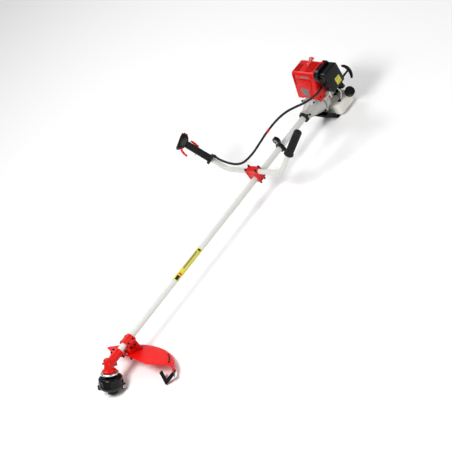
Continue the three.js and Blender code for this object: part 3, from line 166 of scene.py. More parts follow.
CAMERA_AZIMUTH = -30.05
CAMERA_ELEVATION = 35.2
CAMERA_ROLL = -33.3
CAMERA_DISTANCE = 8.0
CAMERA_LENS = 143.5
CAMERA_TARGET = Vector((-0.0494, -0.0768, 0.1273))


def aimed(azimuth, elevation, distance, target, roll=0):
    """Where something stands that looks at `target`; azimuth 0 is the user's left side."""
    heading = Matrix.Translation(target) @ turn(azimuth, "Z") @ turn(90 - elevation, "X")
    return heading @ shift(0, 0, distance) @ turn(roll, "Z")


lens = bpy.data.cameras.new("camera")
lens.sensor_width = 36
lens.lens = CAMERA_LENS
camera = placed("camera", lens)
camera.matrix_world = aimed(
    CAMERA_AZIMUTH, CAMERA_ELEVATION, CAMERA_DISTANCE, CAMERA_TARGET, CAMERA_ROLL
)
bpy.context.scene.camera = camera
bpy.context.scene.view_settings.view_transform = "Standard"


LIT_POINT = Vector((0, 0, 0.2))


def area_light(name, azimuth, elevation, distance, size, power):
    light = bpy.data.lights.new(name, "AREA")
    light.shape = "DISK"
    light.size = size
    light.energy = power
    placed(name, light).matrix_world = aimed(azimuth, elevation, distance, LIT_POINT)


area_light("key", -75, 55, 3.2, 1.2, 78)
area_light("fill", 20, 30, 4.0, 2.0, 26)
area_light("rim", 150, 50, 3.5, 1.6, 34)

world = bpy.data.worlds.new("studio")
bpy.context.scene.world = world
world.use_nodes = True
background = world.node_tree.nodes["Background"].inputs
background["Color"].default_value = (1, 1, 1, 1)
background["Strength"].default_value = 0.42


# ---- materials ----


def material(name, colour, roughness, **look):
    """A surface whose colour, gloss and relief all vary a little, at the real thing's scale.

    look: vary (share of colour change), patch and grain (features per metre), relief (metres),
    metallic, coat, shine (strength of reflections) and spread (change of roughness).
    """
    made = bpy.data.materials.new(name)
    made.use_nodes = True
    made.diffuse_color = (*colour, 1)
    nodes = made.node_tree.nodes
    link = made.node_tree.links.new
    shader = nodes["Principled BSDF"]
    shader.inputs["Metallic"].default_value = look.get("metallic", 0)
    shader.inputs["Coat Weight"].default_value = look.get("coat", 0)
    shader.inputs["Coat Roughness"].default_value = 0.08
    shader.inputs["Specular IOR Level"].default_value = look.get("shine", 0.5)
    place = nodes.new("ShaderNodeTexCoord")
    stretch = nodes.new("ShaderNodeMapping")
    stretch.inputs["Scale"].default_value = look.get("stretch", (1, 1, 1))
    link(place.outputs["Object"], stretch.inputs["Vector"])

    def noise(scale, detail):
        texture = nodes.new("ShaderNodeTexNoise")
        texture.inputs["Scale"].default_value = scale
        texture.inputs["Detail"].default_value = detail
        link(stretch.outputs["Vector"], texture.inputs["Vector"])
        return texture.outputs["Fac"]

    vary = look.get("vary", 0.08)
    tint = nodes.new("ShaderNodeMix")
    tint.data_type = "RGBA"
    tint.inputs[6].default_value = (*[c * (1 - vary) for c in colour], 1)
    tint.inputs[7].default_value = (*[min(c * (1 + vary), 1) for c in colour], 1)
    link(noise(look.get("patch", 45), 3), tint.inputs[0])
    link(tint.outputs[2], shader.inputs["Base Color"])
    spread = look.get("spread", 0.08)
    gloss = nodes.new("ShaderNodeMapRange")
    gloss.inputs["To Min"].default_value = max(roughness - spread, 0.03)
    gloss.inputs["To Max"].default_value = roughness + spread
    link(noise(look.get("patch", 45) * 2.7, 2), gloss.inputs["Value"])
    link(gloss.outputs["Result"], shader.inputs["Roughness"])
    bump = nodes.new("ShaderNodeBump")
    bump.inputs["Strength"].default_value = 0.6
    bump.inputs["Distance"].default_value = look.get("relief", 0.00004)
    link(noise(look.get("grain", 900), 2), bump.inputs["Height"])
    link(bump.outputs["Normal"], shader.inputs["Normal"])
    return made


RED = material(
    "red_gloss", (0.62, 0.004, 0.002), 0.27, shine=0.22, coat=0.08, grain=700, relief=0.00001,
    vary=0.04, spread=0.02,
)
# a darker copy of the red: painted shade for the red shroud seen in shadow through the intake grille
RED_PAINTED_SHADE = material("red_grille_painted_shade", (0.10, 0.004, 0.004), 0.4, shine=0.3, grain=1200)
RED_SATIN = material(
    "red_satin", (0.76, 0.004, 0.003), 0.42, shine=0.1, grain=1300, relief=0.00002, vary=0.04,
    spread=0.04,
)
BLACK = material(
    "black_gloss", (0.003, 0.003, 0.0035), 0.2, shine=0.22, grain=500, relief=0.00001, vary=0.3,
    spread=0.03,
)
SATIN = material("black_satin", (0.005, 0.0055, 0.0065), 0.42, shine=0.2, grain=1600, vary=0.3)
RUBBER = material(
    "rubber", (0.010, 0.0105, 0.0125), 0.6, shine=0.2, grain=2200, relief=0.00012, vary=0.3
)
BLACK_STEEL = material("black_steel", (0.003, 0.003, 0.0035), 0.42, shine=0.2, grain=1500, vary=0.3)
PAINT = material("tube_paint", (0.62, 0.62, 0.59), 0.3, shine=0.4, coat=0.2, grain=3000, vary=0.02)
CAST = material(
    "cast_alloy", (0.46, 0.46, 0.44), 0.45, metallic=0.35, grain=1400, relief=0.0001, vary=0.05
)
STEEL = material(
    "turned_steel", (0.6, 0.6, 0.61), 0.25, metallic=0.9, grain=700, stretch=(1, 1, 6)
)
ZINC = material("zinc", (0.5, 0.5, 0.51), 0.33, metallic=0.9, grain=1500)
BLADE = material("blade_steel", (0.2, 0.21, 0.22), 0.4, metallic=0.6, grain=1500)
MILKY = material("tank_plastic", (0.76, 0.74, 0.68), 0.36, shine=0.4, patch=16, vary=0.06, grain=500)
IVORY = material("white_plastic", (0.68, 0.67, 0.63), 0.35, grain=900)
BOOT = material("boot_rubber", (0.72, 0.10, 0.08), 0.3, coat=0.3, grain=900)
YELLOW = material("yellow_label", (0.62, 0.56, 0.05), 0.4, shine=0.3, grain=2500, vary=0.05)
GREY = material("grey_label", (0.17, 0.165, 0.165), 0.45, shine=0.3, grain=2500, patch=300, vary=0.3)
ROPE = material("braid", (0.5, 0.48, 0.43), 0.8, grain=2600, relief=0.0004)
FOAM = material("foam", (0.02, 0.02, 0.021), 0.9, grain=900, relief=0.0008, vary=0.4)
SHEATH = material(
    "sheath", (0.003, 0.003, 0.0035), 0.36, shine=0.35, grain=420, relief=0.0001, vary=0.3
)


FINISHES = {  # a slot's looks, the first for parts that stay as the frame has them
    "red_plastic": (RED, RED_PAINTED_SHADE, RED_SATIN, BOOT),
    "black_plastic": (SATIN, BLACK, SHEATH, YELLOW, GREY),
    "black_rubber": (RUBBER,),
    "steel": (STEEL, ZINC, BLADE, BLACK_STEEL),
    "cast_alloy": (CAST,),
    "white_tube": (PAINT,),
    "tank_plastic": (MILKY,),
    "white_plastic": (IVORY,),
    "filter_felt": (FOAM,),
    "rope": (ROPE,),
}
SLOT_OF = {look.name: slot for slot, looks in FINISHES.items() for look in looks}


# ---- mesh tools ----


def flat_ring(radius, height, segments, wave=None):
    ring = []
    for i in range(segments):
        angle = 2 * pi * i / segments
        r = radius * (wave(angle, height) if wave else 1)
        ring.append((r * cos(angle), r * sin(angle), height))
    return ring


def lathe(profile, segments=64, wave=None):
    """A profile of (radius, height) points turned round +Z; an open end off the axis joins up."""
    bm = bmesh.new()
    rings = []
    for radius, height in profile:
        if radius < 1e-6:
            rings.append([bm.verts.new((0, 0, height))])
        else:
            rings.append([bm.verts.new(p) for p in flat_ring(radius, height, segments, wave)])
    pairs = list(zip(rings, rings[1:]))
    if len(rings[0]) > 1:
        pairs.append((rings[-1], rings[0]))
    for low, high in pairs:
        for i in range(segments):
            j = (i + 1) % segments
            corners = [low[i % len(low)], low[j % len(low)], high[j % len(high)], high[i % len(high)]]
            face = list(dict.fromkeys(corners))
            if len(face) > 2:
                bm.faces.new(face)
    bmesh.ops.recalc_face_normals(bm, faces=bm.faces)
    return bm


def slab(outline, low, high):
    """An outline in X and Y, solid from height `low` to `high`."""
    bm = bmesh.new()
    bottom = [bm.verts.new((x, y, low)) for x, y in outline]
    top = [bm.verts.new((x, y, high)) for x, y in outline]
    bm.faces.new(bottom)
    bm.faces.new(top)
    for i in range(len(outline)):
        j = (i + 1) % len(outline)
        bm.faces.new((bottom[i], bottom[j], top[j], top[i]))
    bmesh.ops.recalc_face_normals(bm, faces=bm.faces)
    return bm


def plan(long, wide, radius, steps=5):
    """A rounded rectangle about the origin."""
    points = []
    for quarter, (sx, sy) in enumerate(((1, 1), (-1, 1), (-1, -1), (1, -1))):
        for i in range(steps + 1):
            angle = radians(90 * (quarter + i / steps))
            x = sx * (long / 2 - radius) + radius * cos(angle)
            y = sy * (wide / 2 - radius) + radius * sin(angle)
            points.append((x, y))
    return points


def moved(bm, matrix):
    bm.transform(matrix)
    return bm


def standing(outline, low, high):
    """An outline in X and Z, solid from `low` to `high` along Y."""
    return moved(slab(outline, -high, -low), UPRIGHT)


def brick(size, centre, round_by=0.0):
    """A block round `centre`, with its upright edges rounded."""
    outline = plan(size[0], size[1], max(round_by, 0.01), 4 if round_by else 1)
    return moved(slab(outline, -size[2] / 2, size[2] / 2), shift(*centre))


def aligned(start, direction):
    """A frame at `start` whose +Z points along `direction`."""
    spin = Vector(direction).to_track_quat("Z", "Y").to_matrix().to_4x4()
    return Matrix.Translation(start) @ spin


def rod(start, end, radius, far_radius=None, segments=28):
    run = Vector(end) - Vector(start)
    last = radius if far_radius is None else far_radius
    shape = lathe([(0, 0), (radius, 0), (last, run.length), (0, run.length)], segments)
    return moved(shape, aligned(start, run))


def joined(*shapes):
    whole = bmesh.new()
    for shape in shapes:
        mesh = bpy.data.meshes.new("join")
        shape.to_mesh(mesh)
        whole.from_mesh(mesh)
        bpy.data.meshes.remove(mesh)
        shape.free()
    return whole


def spline(points, count):
    """Points along a smooth line through `points` (Catmull-Rom)."""
    path = [Vector(p) for p in points]
    path.insert(0, 2 * path[0] - path[1])
    path.append(2 * path[-1] - path[-2])
    out = []
    spans = len(path) - 3
    for i in range(count + 1):
        at = min(i / count * spans, spans - 1e-6)
        k = int(at)
        t = at - k
        a, b, c, d = path[k : k + 4]
        bend = (2 * a - 5 * b + 4 * c - d) * t * t
        twist = (3 * b - a - 3 * c + d) * t * t * t
        out.append(0.5 * (2 * b + (c - a) * t + bend + twist))
    return out


def swept(points, radius, segments=20, aspect=1.0):
    """A rod along points. radius is a number, or a function of the share travelled."""
    path = [Vector(p) for p in points]
    bm = bmesh.new()
    side = None
    rings = []
    for i, at in enumerate(path):
        ahead = path[min(i + 1, len(path) - 1)] - path[max(i - 1, 0)]
        ahead.normalize()
        if side is None:
            side = ahead.orthogonal().normalized()
        side = (side - ahead * side.dot(ahead)).normalized()
        up = ahead.cross(side)
        r = radius(i / (len(path) - 1)) if callable(radius) else radius
        ring = []
        for k in range(segments):
            angle = 2 * pi * k / segments
            ring.append(bm.verts.new(at + side * r * cos(angle) + up * r * aspect * sin(angle)))
        rings.append(ring)
    for low, high in zip(rings, rings[1:]):
        for k in range(segments):
            j = (k + 1) % segments
            bm.faces.new((low[k], low[j], high[j], high[k]))
    bm.faces.new(rings[0])
    bm.faces.new(rings[-1])
    bmesh.ops.recalc_face_normals(bm, faces=bm.faces)
    return bm


def as_object(bm):
    mesh = bpy.data.meshes.new("work")
    bm.to_mesh(mesh)
    bm.free()
    return placed("work", mesh)


def modified(bm, *steps, tools=()):
    """The mesh after Blender modifiers: each step is (type, settings)."""
    thing = as_object(bm)
    for kind, settings in steps:
        step = thing.modifiers.new(kind, kind)
        for key, value in settings.items():
            setattr(step, key, value)
    result = thing.evaluated_get(bpy.context.evaluated_depsgraph_get())
    out = bmesh.new()
    out.from_mesh(result.to_mesh())
    result.to_mesh_clear()
    for spent in (thing, *tools):
        mesh = spent.data
        bpy.data.objects.remove(spent)
        bpy.data.meshes.remove(mesh)
    return out


def soft(bm, voxel=1.2, rounds=5):
    """Moulded or cast: every edge and joint between shapes is blended."""
    return modified(
        bm,
        ("REMESH", {"mode": "VOXEL", "voxel_size": voxel}),
        ("SMOOTH", {"iterations": rounds, "factor": 0.6}),
    )


def bevelled(bm, width, segments=2, angle=30):
    limit = {"limit_method": "ANGLE", "angle_limit": radians(angle)}
    return modified(bm, ("BEVEL", {"width": width, "segments": segments, **limit}))


def cut(bm, *cutters):
    tools = [as_object(cutter) for cutter in cutters]
    steps = [("BOOLEAN", {"operation": "DIFFERENCE", "solver": "EXACT", "object": t}) for t in tools]
    return modified(bm, *steps, tools=tools)


def piece(name, bm, place, look, replaces=(), slot=None, body="frame", sharp=38):
    """A finished piece: its mesh put in place, smooth but for edges over `sharp` degrees."""
    bm.transform(place)
    bmesh.ops.remove_doubles(bm, verts=bm.verts, dist=1e-6)
    bmesh.ops.recalc_face_normals(bm, faces=bm.faces)
    mesh = bpy.data.meshes.new(name)
    bm.to_mesh(mesh)
    bm.free()
    mesh.polygons.foreach_set("use_smooth", [True] * len(mesh.polygons))
    mesh.set_sharp_from_angle(angle=radians(sharp))
    mesh.materials.append(look)
    made = placed(name, mesh)
    if body:
        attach(made, body)
    slot or SLOT_OF[look.name]
    if replaces:
        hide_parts(*replaces)
    return made


def fasteners(name, bolts, place, look=BLACK_STEEL):
    piece(name, joined(*bolts), place, look)


def hex_bolt(at, direction, size, tall=None):
    """A washer and a hexagon head of width `size`, standing on `at`."""
    tall = tall or size * 0.6
    washer = lathe([(0, 0), (size * 0.68, 0), (size * 0.68, 1), (0, 1)], 24)
    corner = size / math.sqrt(3)
    head = lathe(
        [(0, 0.8), (corner, 0.8), (corner, tall), (corner * 0.84, tall + 0.8), (0, tall + 0.8)], 6
    )
    return moved(joined(washer, head), aligned(at, direction))


def cap_bolt(at, direction, size, tall=None):
    """A round socket-head screw standing on `at`."""
    tall = tall or size * 0.8
    r = size / 2
    head = lathe([
        (0, 0), (r * 1.35, 0), (r * 1.35, 0.9), (r, 1), (r, tall - 0.5), (r - 0.5, tall),
        (r * 0.55, tall), (r * 0.5, tall * 0.45), (0, tall * 0.45),
    ], 20)
    return moved(head, aligned(at, direction))


# ---- throttle cable: it comes first, with its route ----

CABLE_RADIUS = 5.8
CABLE_ROUTE = [
    (1141, 222, 98), (1138, 190, 80), (1138, 140, 67), (1143, 92, 63), (1160, 54, 69), (1202, 26, 84),
    (1250, 13, 99), (1300, 5, 112), (1350, -2, 119), (1400, -9, 121), (1450, -20, 116), (1495, -38, 106),
    (1530, -58, 99), (1562, -76, 98), (1592, -88, 99), (1618, -90, 100), (1642, -83, 98),
]
CABLE_STEPS = 320  # of the line that is measured
CABLE_DETAIL = 900  # of the sheath's mesh
CABLE_RIBS = 150
cable_line = spline(CABLE_ROUTE, CABLE_STEPS)
cable_points = [TUBE @ p for p in cable_line]
cable_length = sum((b - a).length for a, b in zip(cable_points, cable_points[1:]))


def ribbed(share):
    return CABLE_RADIUS - 0.25 * (1 + cos(share * 2 * pi * CABLE_RIBS))


cable = piece("cable_sheath", swept(spline(CABLE_ROUTE, CABLE_DETAIL), ribbed, 14), TUBE, SHEATH,
    ["throttle_cable"], sharp=80)


def cable_sleeve(name, share, half, radius, look):
    """A short sleeve round the cable, centred at a share of its length."""
    middle = int(share * CABLE_STEPS)
    stretch = cable_line[max(middle - half, 0) : middle + half + 1]

    def rounded(t):
        return radius * (1 - 0.12 * abs(2 * t - 1) ** 6)

    return piece(name, swept(stretch, rounded, 24), TUBE, look)


tie = cable_sleeve("cable_tie", 0.465, 3, 6.7, RED)
gland = cable_sleeve("cable_gland", 0.012, 4, 7.4, SATIN)
stop = cable_sleeve("cable_stop", 0.985, 5, 6.6, SATIN)
tuple(cable_points[0])
[tuple(p) for p in cable_points[::10]]

# ---- tube ----

TUBE_RADIUS = 14
TUBE_INSIDE = 12.5
TUBE_START = 42
TUBE_END = 1552
FIT = 0.3  # between a bore and what it holds
tube = lathe([
    (TUBE_INSIDE, TUBE_START), (TUBE_RADIUS, TUBE_START), (TUBE_RADIUS, TUBE_END),
    (TUBE_INSIDE, TUBE_END),
], 72)
piece("tube_skin", tube, TUBE @ ALONG_X, PAINT, ["main_tube"])


def tube_bore(start, end):
    """What a part round the tube is cut with."""
    return rod((start, 0, 0), (end, 0, 0), TUBE_RADIUS + FIT, segments=64)


def sticker(name, start, end, middle, spread, lift, look):
    """A label wrapped on the tube: from `start` to `end`, `spread` degrees wide."""
    bm = bmesh.new()
    steps = 20
    grid = []
    for r in (TUBE_RADIUS + lift, TUBE_RADIUS + lift - 0.1):
        for x in (start, end):
            line = []
            for k in range(steps + 1):
                angle = radians(middle - spread / 2 + spread * k / steps)
                line.append(bm.verts.new((x, r * cos(angle), r * sin(angle))))
            grid.append(line)
    for low, high in ((grid[0], grid[1]), (grid[3], grid[2]), (grid[2], grid[0]), (grid[1], grid[3])):
        for k in range(steps):
            bm.faces.new((low[k], low[k + 1], high[k + 1], high[k]))
    for k in (0, steps):
        bm.faces.new((grid[0][k], grid[1][k], grid[3][k], grid[2][k]))
    return piece(name, bm, TUBE, look, slot="white_tube")


LABEL_FACING = 140  # degrees round the tube, from the user's right over the top
LABEL_BARS = [  # start, end, turned aside, degrees wide, colour
    (496, 520, 0, 60, BLACK), (526, 534, 0, 60, RED), (560, 664, -20, 30, GREY),
    (670, 680, 0, 60, BLACK),
]
sticker("tube_label", 492, 684, LABEL_FACING, 118, 0.15, YELLOW)
for i, (start, end, aside, spread, look) in enumerate(LABEL_BARS):
    sticker(f"tube_label_bar_{i}", start, end, LABEL_FACING + aside, spread, 0.22, look)

# ---- gear case ----

NECK = turn(-HEAD_LEAN, "Y")  # from the gear case's own frame back to the tube's direction
case = lathe([
    (0, -28), (30.6, -28), (31, -27), (31, -22), (23, -18), (20, -8), (19, 0), (19, 22),
    (17.5, 26), (13, 30), (8, 31), (0, 31),
], 96)
neck = lathe([(0, 0), (19.6, 0), (19.6, 30), (20, 34), (20, 81), (19, 82), (0, 82)], 72)
neck = moved(neck, NECK @ ALONG_X)
ribs = [brick((44, 4, 26), (26, 0, -6)), moved(brick((70, 3, 16), (40, 0, -18)), NECK)]
case_body = soft(joined(case, neck, *ribs), 0.8, 6)
neck_bore = moved(rod((44, 0, 0), (90, 0, 0), TUBE_RADIUS + FIT, segments=48), NECK)
split = moved(brick((44, 60, 1.6), (66, 30, 3)), NECK)
shaft_bore = rod((0, 0, -30), (0, 0, -12), 15.6, segments=48)
piece("gear_case_body", cut(case_body, neck_bore, split, shaft_bore), HEAD, RED, ["gear_case"])
NECK_BOLTS = (56, 73)
clamp_ears = [moved(brick((13, 9, 17), (x, 21.5, 3), 3), NECK) for x in NECK_BOLTS]
piece("gear_case_ears", soft(joined(*clamp_ears), 0.8, 3), HEAD, RED)
case_bolts = [moved(cap_bolt((x, 22, 11.5), UP, 6.5), NECK) for x in NECK_BOLTS]
case_bolts.append(cap_bolt((-13.3, 13.1, 9), (-0.715, 0.699, 0), 8, 6))
for angle in range(45, 360, 90):
    case_bolts.append(cap_bolt((*on_arc(26, angle), -22.5), UP, 5, 3.4))
fasteners("gear_case_bolts", case_bolts, HEAD)

# ---- flange and line head ----

flange = lathe([
    (5.3, -28.8), (14, -28.8), (15, -29.6), (15, -31), (35, -31), (38.6, -32.4), (40, -34.4),
    (40, -38), (38.4, -40.4), (30, -42.4), (27, -45), (25, -46), (5.3, -46),
], 96)
piece("flange_plate", flange, HEAD, STEEL, ["blade_flange"], body="cutter_head", sharp=25)


def fluted(angle, height):
    """Six shallow finger flutes round the skirt of the head."""
    share = min(max((-58 - height) / 8, 0), 1)
    return 1 - 0.035 * share * max(cos(6 * angle), 0) ** 3


housing = lathe([
    (5.3, -47), (22, -47), (24, -47.6), (25, -49.4), (43, -50.6), (46, -51.4), (50, -54),
    (52.6, -58), (53, -61), (53, -70), (52, -71), (52, -73), (53, -74), (53, -84), (49.5, -84),
    (49.5, -58), (46, -54), (5.3, -54),
], 144, fluted)
top_ribs = [
    moved(brick((17, 2.2, 3.4), (33.5, 0, -49.4)), turn(30 * i, "Z")) for i in range(12)
]
piece("head_shell", housing, HEAD, BLACK, ["head_housing"], body="cutter_head")
piece("head_shell_ribs", bevelled(joined(*top_ribs), 0.5), HEAD, BLACK, body="cutter_head")

COVER_TOP = -84.3
EAR_TURN = -48
cover = lathe([
    (49.6, COVER_TOP), (53.3, COVER_TOP), (53.3, -94.5), (51, -100), (47.4, -105.4), (45, -107),
    (26, -107), (24, -105.6), (24, -103.5), (45, -103.5), (49.5, -95), (49.5, -86),
], 120)
ear_plate = slab(plan(124, 36, 17.5, 8), -107.3, -90.3)
ear_plate = cut(ear_plate, rod((0, 0, -120), (0, 0, -80), 47, segments=80))
ear_plate = moved(ear_plate, turn(EAR_TURN, "Z"))
piece("head_cover_shell", soft(joined(cover, bevelled(ear_plate, 2.5, 3)), 1.1, 4), HEAD, BLACK,
      ["head_cover"], body="cutter_head")
EAR_MIDDLE = Vector((44.5, 0, -98.8))  # of an ear's round end
EYELET_REACH = 16.6
eyelet_way = Vector((*on_arc(1, -50), 0))
eyelets = []
latches = []
for side in (0, 180):
    ear = turn(EAR_TURN + side, "Z")
    ring = lathe([(2.4, 0), (6, 0), (7, 1), (7, 2.6), (5.6, 3.6), (3.2, 3.6), (2.4, 2.4)], 32)
    eyelets.append(moved(ring, ear @ aligned(EAR_MIDDLE + eyelet_way * EYELET_REACH, eyelet_way)))
    latches.append(moved(bevelled(brick((3, 17, 11), (52.6, 0, -79), 1), 0.8), ear))
piece("line_eyelets", joined(*eyelets), HEAD, ZINC, body="cutter_head")
piece("head_latches", joined(*latches), HEAD, SATIN, body="cutter_head")

knob_low = (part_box("bump_knob")[0].z - JOINTS["head_spin"]["pos_m"][2]) / MM
lean_cos = cos(radians(HEAD_LEAN))
lean_sin = sin(radians(HEAD_LEAN))
KNOB_FACE = 13  # how far out the knob's flat face goes
KNOB_ROOM = 0.7  # above the floor
knob_bottom = (knob_low + KNOB_FACE * lean_sin) / lean_cos + KNOB_ROOM
knob = lathe([
    (0, knob_bottom), (12, knob_bottom), (16, knob_bottom + 1), (20, knob_bottom + 4.2),
    (21.6, knob_bottom + 8), (22, knob_bottom + 12), (22, -107), (18.5, -88.4), (0, -88.4),
], 96, lambda angle, height: 1 - (0.03 * max(cos(12 * angle), 0) if height < -108 else 0))
piece("knob_skin", knob, HEAD, SATIN, ["bump_knob"], body="bump_spool")

# ---- guard ----

GUARD_RADIUS = 250
GUARD_NEAR = 92
GUARD_SKEW = 13
GUARD_RIM = -9.776
GUARD_PLATE = 11
GUARD_SAG = 2.5
SHEET = 2.6
ARC_LEFT = -58
ARC_RIGHT = 58
LOBE_ARC = 12
LOBE_DEPTH = 29.2
left_tip = on_arc(GUARD_RADIUS, ARC_LEFT)[1]
right_tip = on_arc(GUARD_RADIUS, ARC_RIGHT)[1]
inner_edge = [
    (GUARD_RADIUS * 0.52, left_tip * 1.05),
    (GUARD_RADIUS * 0.46, left_tip * 0.93),
    (GUARD_NEAR - GUARD_SKEW, left_tip * 0.48),
    (GUARD_NEAR, 0),
    (GUARD_NEAR, right_tip * 0.62),
    (GUARD_RADIUS * 0.5, right_tip * 1.02),
]


def inner_radius(degrees):
    """How far from the guard's centre its inner edge is, in one direction."""
    dx, dy = on_arc(1, degrees)
    for (x1, y1), (x2, y2) in zip(inner_edge, inner_edge[1:]):
        bottom = dx * (y2 - y1) - dy * (x2 - x1)
        if abs(bottom) < 1e-9:
            continue
        reach = (x1 * (y2 - y1) - y1 * (x2 - x1)) / bottom
        share = (x1 * dy - y1 * dx) / bottom
        if reach > 0 and -1e-6 <= share <= 1 + 1e-6:
            return reach
    return GUARD_RADIUS * 0.55


def guard_height(radius):
    """How high the guard's sheet is at a distance from its centre."""
    share = radius / GUARD_RADIUS
    profile = [
        (0.0, GUARD_PLATE), (0.8, GUARD_PLATE - GUARD_SAG), (0.93, GUARD_PLATE - 2 * GUARD_SAG),
        (0.962, GUARD_PLATE - 3.4 * GUARD_SAG), (0.985, GUARD_RIM + 2 * GUARD_SAG),
        (1.0, GUARD_RIM + 0.8 * SHEET),
    ]
    for (a, low), (b, high) in zip(profile, profile[1:]):
        if share <= b:
            return low + (high - low) * (share - a) / (b - a)
    return profile[-1][1]


def guard_sheet():
    """The dished sheet, with a lobe that hangs down at its left end."""
    bm = bmesh.new()
    across = 226
    shares = [0, 0.015, 0.05] + [0.05 + 0.75 * i / 14 for i in range(1, 15)]
    shares += [0.8 + 0.2 * i / 14 for i in range(1, 15)]
    grid = []
    for i in range(across + 1):
        degrees = ARC_LEFT + (ARC_RIGHT - ARC_LEFT) * i / across
        near = inner_radius(degrees)
        line = []
        for k, share in enumerate(shares):
            radius = near + (GUARD_RADIUS - near) * share
            x, y = on_arc(radius, degrees)
            z = guard_height(radius)
            if k < 2:
                z += 2.2 * (1 - k)  # a small lip along the inner edge
            line.append(bm.verts.new((x, y, z - SHEET / 2)))
        if degrees <= ARC_LEFT + LOBE_ARC:
            edge = on_arc(GUARD_RADIUS - SHEET / 2, degrees)
            for drop in (0.25, 0.5, 0.75, 1):
                line.append(bm.verts.new((*edge, GUARD_RIM - drop * LOBE_DEPTH)))
        grid.append(line)
    for low, high in zip(grid, grid[1:]):
        for a in range(min(len(low), len(high)) - 1):
            bm.faces.new((low[a], low[a + 1], high[a + 1], high[a]))
    return modified(
        bm,
        ("SOLIDIFY", {"thickness": SHEET, "offset": 0}),
        ("BEVEL", {"width": 0.7, "segments": 2, "limit_method": "ANGLE", "angle_limit": 0.9}),
    )


guard_ribs = []
far = GUARD_RADIUS * 0.93  # where the ribs end
for degrees in (-34, -17, 0, 17, 34):
    near = inner_radius(degrees) + 12
    rib = brick((far - near, 2.2, 7), ((near + far) / 2, 0, GUARD_PLATE - 7.4))
    guard_ribs.append(moved(rib, turn(degrees, "Z")))
piece("guard_sheet", guard_sheet(), GUARD, RED_SATIN, ["guard_shield"], sharp=45)
piece("guard_ribs", bevelled(joined(*guard_ribs), 0.5), GUARD, RED_SATIN)
rim_clips = []
CLIP_RADIUS = 231
clip_height = guard_height(CLIP_RADIUS)
for degrees in (-31, -37.5, -44, -50.5):
    clip = brick((4, 22, 3.2), (CLIP_RADIUS, 0, clip_height + 0.6), 1.5)
    head = cap_bolt((CLIP_RADIUS, 0, clip_height + 1.6), (0.2, 0, 1), 6, 3.4)
    rim_clips.append(moved(joined(clip, head), turn(degrees, "Z")))
piece("guard_clips", joined(*rim_clips), GUARD, BLACK)

BLADE_TURN = ARC_LEFT + LOBE_ARC / 3
HANG = GUARD_RIM - 18.6  # the height of the blade and the bracket on the lobe
blade = slab([(-12, 0), (12, 0), (12, -14), (9, -17), (-6, -31), (-12, -26)], -1, 1)
blade = cut(blade, rod((0, -5, -3), (0, -5, 3), 2.5))
blade_place = turn(BLADE_TURN, "Z") @ shift(GUARD_RADIUS + 1.3, 0, HANG)
blade_place = blade_place @ turn(90, "Z") @ UPRIGHT
piece("cutter_blade", bevelled(blade, 0.5), GUARD @ blade_place, BLADE, ["line_blade"])
blade_bolts = [hex_bolt((x, -4, 1.2), UP, 6) for x in (-7, 7)]
fasteners("blade_bolts", blade_bolts, GUARD @ blade_place)

BRACKET_BAND = 14
bracket_end = on_arc(GUARD_RADIUS, ARC_LEFT)
bracket_place = shift(bracket_end[0] - SHEET - 3, bracket_end[1], HANG) @ turn(24, "Y")


def band(start, end):
    """A flat bar between two points in Y and Z."""
    run = Vector((end[0] - start[0], end[1] - start[1]))
    bar = bevelled(brick((5, run.length + BRACKET_BAND, BRACKET_BAND + 3), (0, 0, 0)), 1)
    angle = math.degrees(math.atan2(run.y, run.x))
    middle = shift(0, (start[0] + end[0]) / 2, (start[1] + end[1]) / 2)
    return moved(bar, middle @ turn(angle, "X"))


elbow = (1.7 * BRACKET_BAND, -46)
bands = soft(joined(band((-4.7, -7), elbow), band(elbow, (4.5 * BRACKET_BAND, -14))), 0.6, 2)
piece("bracket_bands", bands, GUARD @ bracket_place, BLACK, ["line_bracket"])

# ---- guard mount on the tube ----

MOUNT_START = 116
MOUNT_END = 166


def on_plate(distance, height):
    """A point of the guard's plate as the tube's frame has it."""
    return distance * lean_cos + height * lean_sin, height * lean_cos - distance * lean_sin


wedge_outline = [
    (MOUNT_START, -0.3), (MOUNT_START, -19.6), on_plate(112, 11.3), on_plate(185, 11.3),
    (MOUNT_END, -14), (MOUNT_END, -0.3),
]
wedge = standing(wedge_outline, -20, 20)
ear_plates = [brick((50, 12, 6), (141, side * 25, -3.3), 2) for side in (-1, 1)]
pocket = [(124, -24), (134, -22), (150, -58), (146, -66)]
pockets = [standing(pocket, low, low + 14) for low in (-30, 16)]
mount = cut(soft(joined(wedge, *ear_plates), 1.2, 4), tube_bore(100, 180), *pockets)
piece("mount_wedge", mount, TUBE, RED, ["guard_mount"])
shell = rod((MOUNT_START, 0, 0), (MOUNT_END, 0, 0), 20, segments=72)
upper_ears = [brick((50, 13, 8), (141, side * 25, 0), 2) for side in (-1, 1)]
shell = soft(joined(shell, *upper_ears), 1.0, 4)
below = brick((80, 80, 60), (141, 0, -29.9))
piece("mount_shell", cut(shell, below, tube_bore(100, 180)), TUBE, RED, ["guard_clamp"])
mount_bolts = [
    cap_bolt((x, side * 25.5, 3.8), UP, 8, 4) for x in (126, 156) for side in (-1, 1)
]
for x, z in ((127, -25), (148, -29)):
    mount_bolts.append(cap_bolt((x, -19.6, z), (0, -1, 0), 8, 4.4))
fasteners("mount_bolts", mount_bolts, TUBE)
under_nuts = [
    hex_bolt((x, y, 8.4), DOWN, 9, 11)
    for x, y in ((97, 24), (97, 10), (99, -38), (140, -14), (140, 14))
]
under_nuts.append(hex_bolt((188, -8, 10.8), UP, 8, 6))
fasteners("mount_nuts", under_nuts, HEAD)
plate_nuts = [hex_bolt((x, y, 11), UP, 7.5, 5) for x, y in ((103, -6), (150, 26))]
fasteners("plate_nuts", plate_nuts, HEAD, ZINC)

# ---- handlebar clamp ----

BAR_RADIUS = 12
CLAMP_LONG = 38


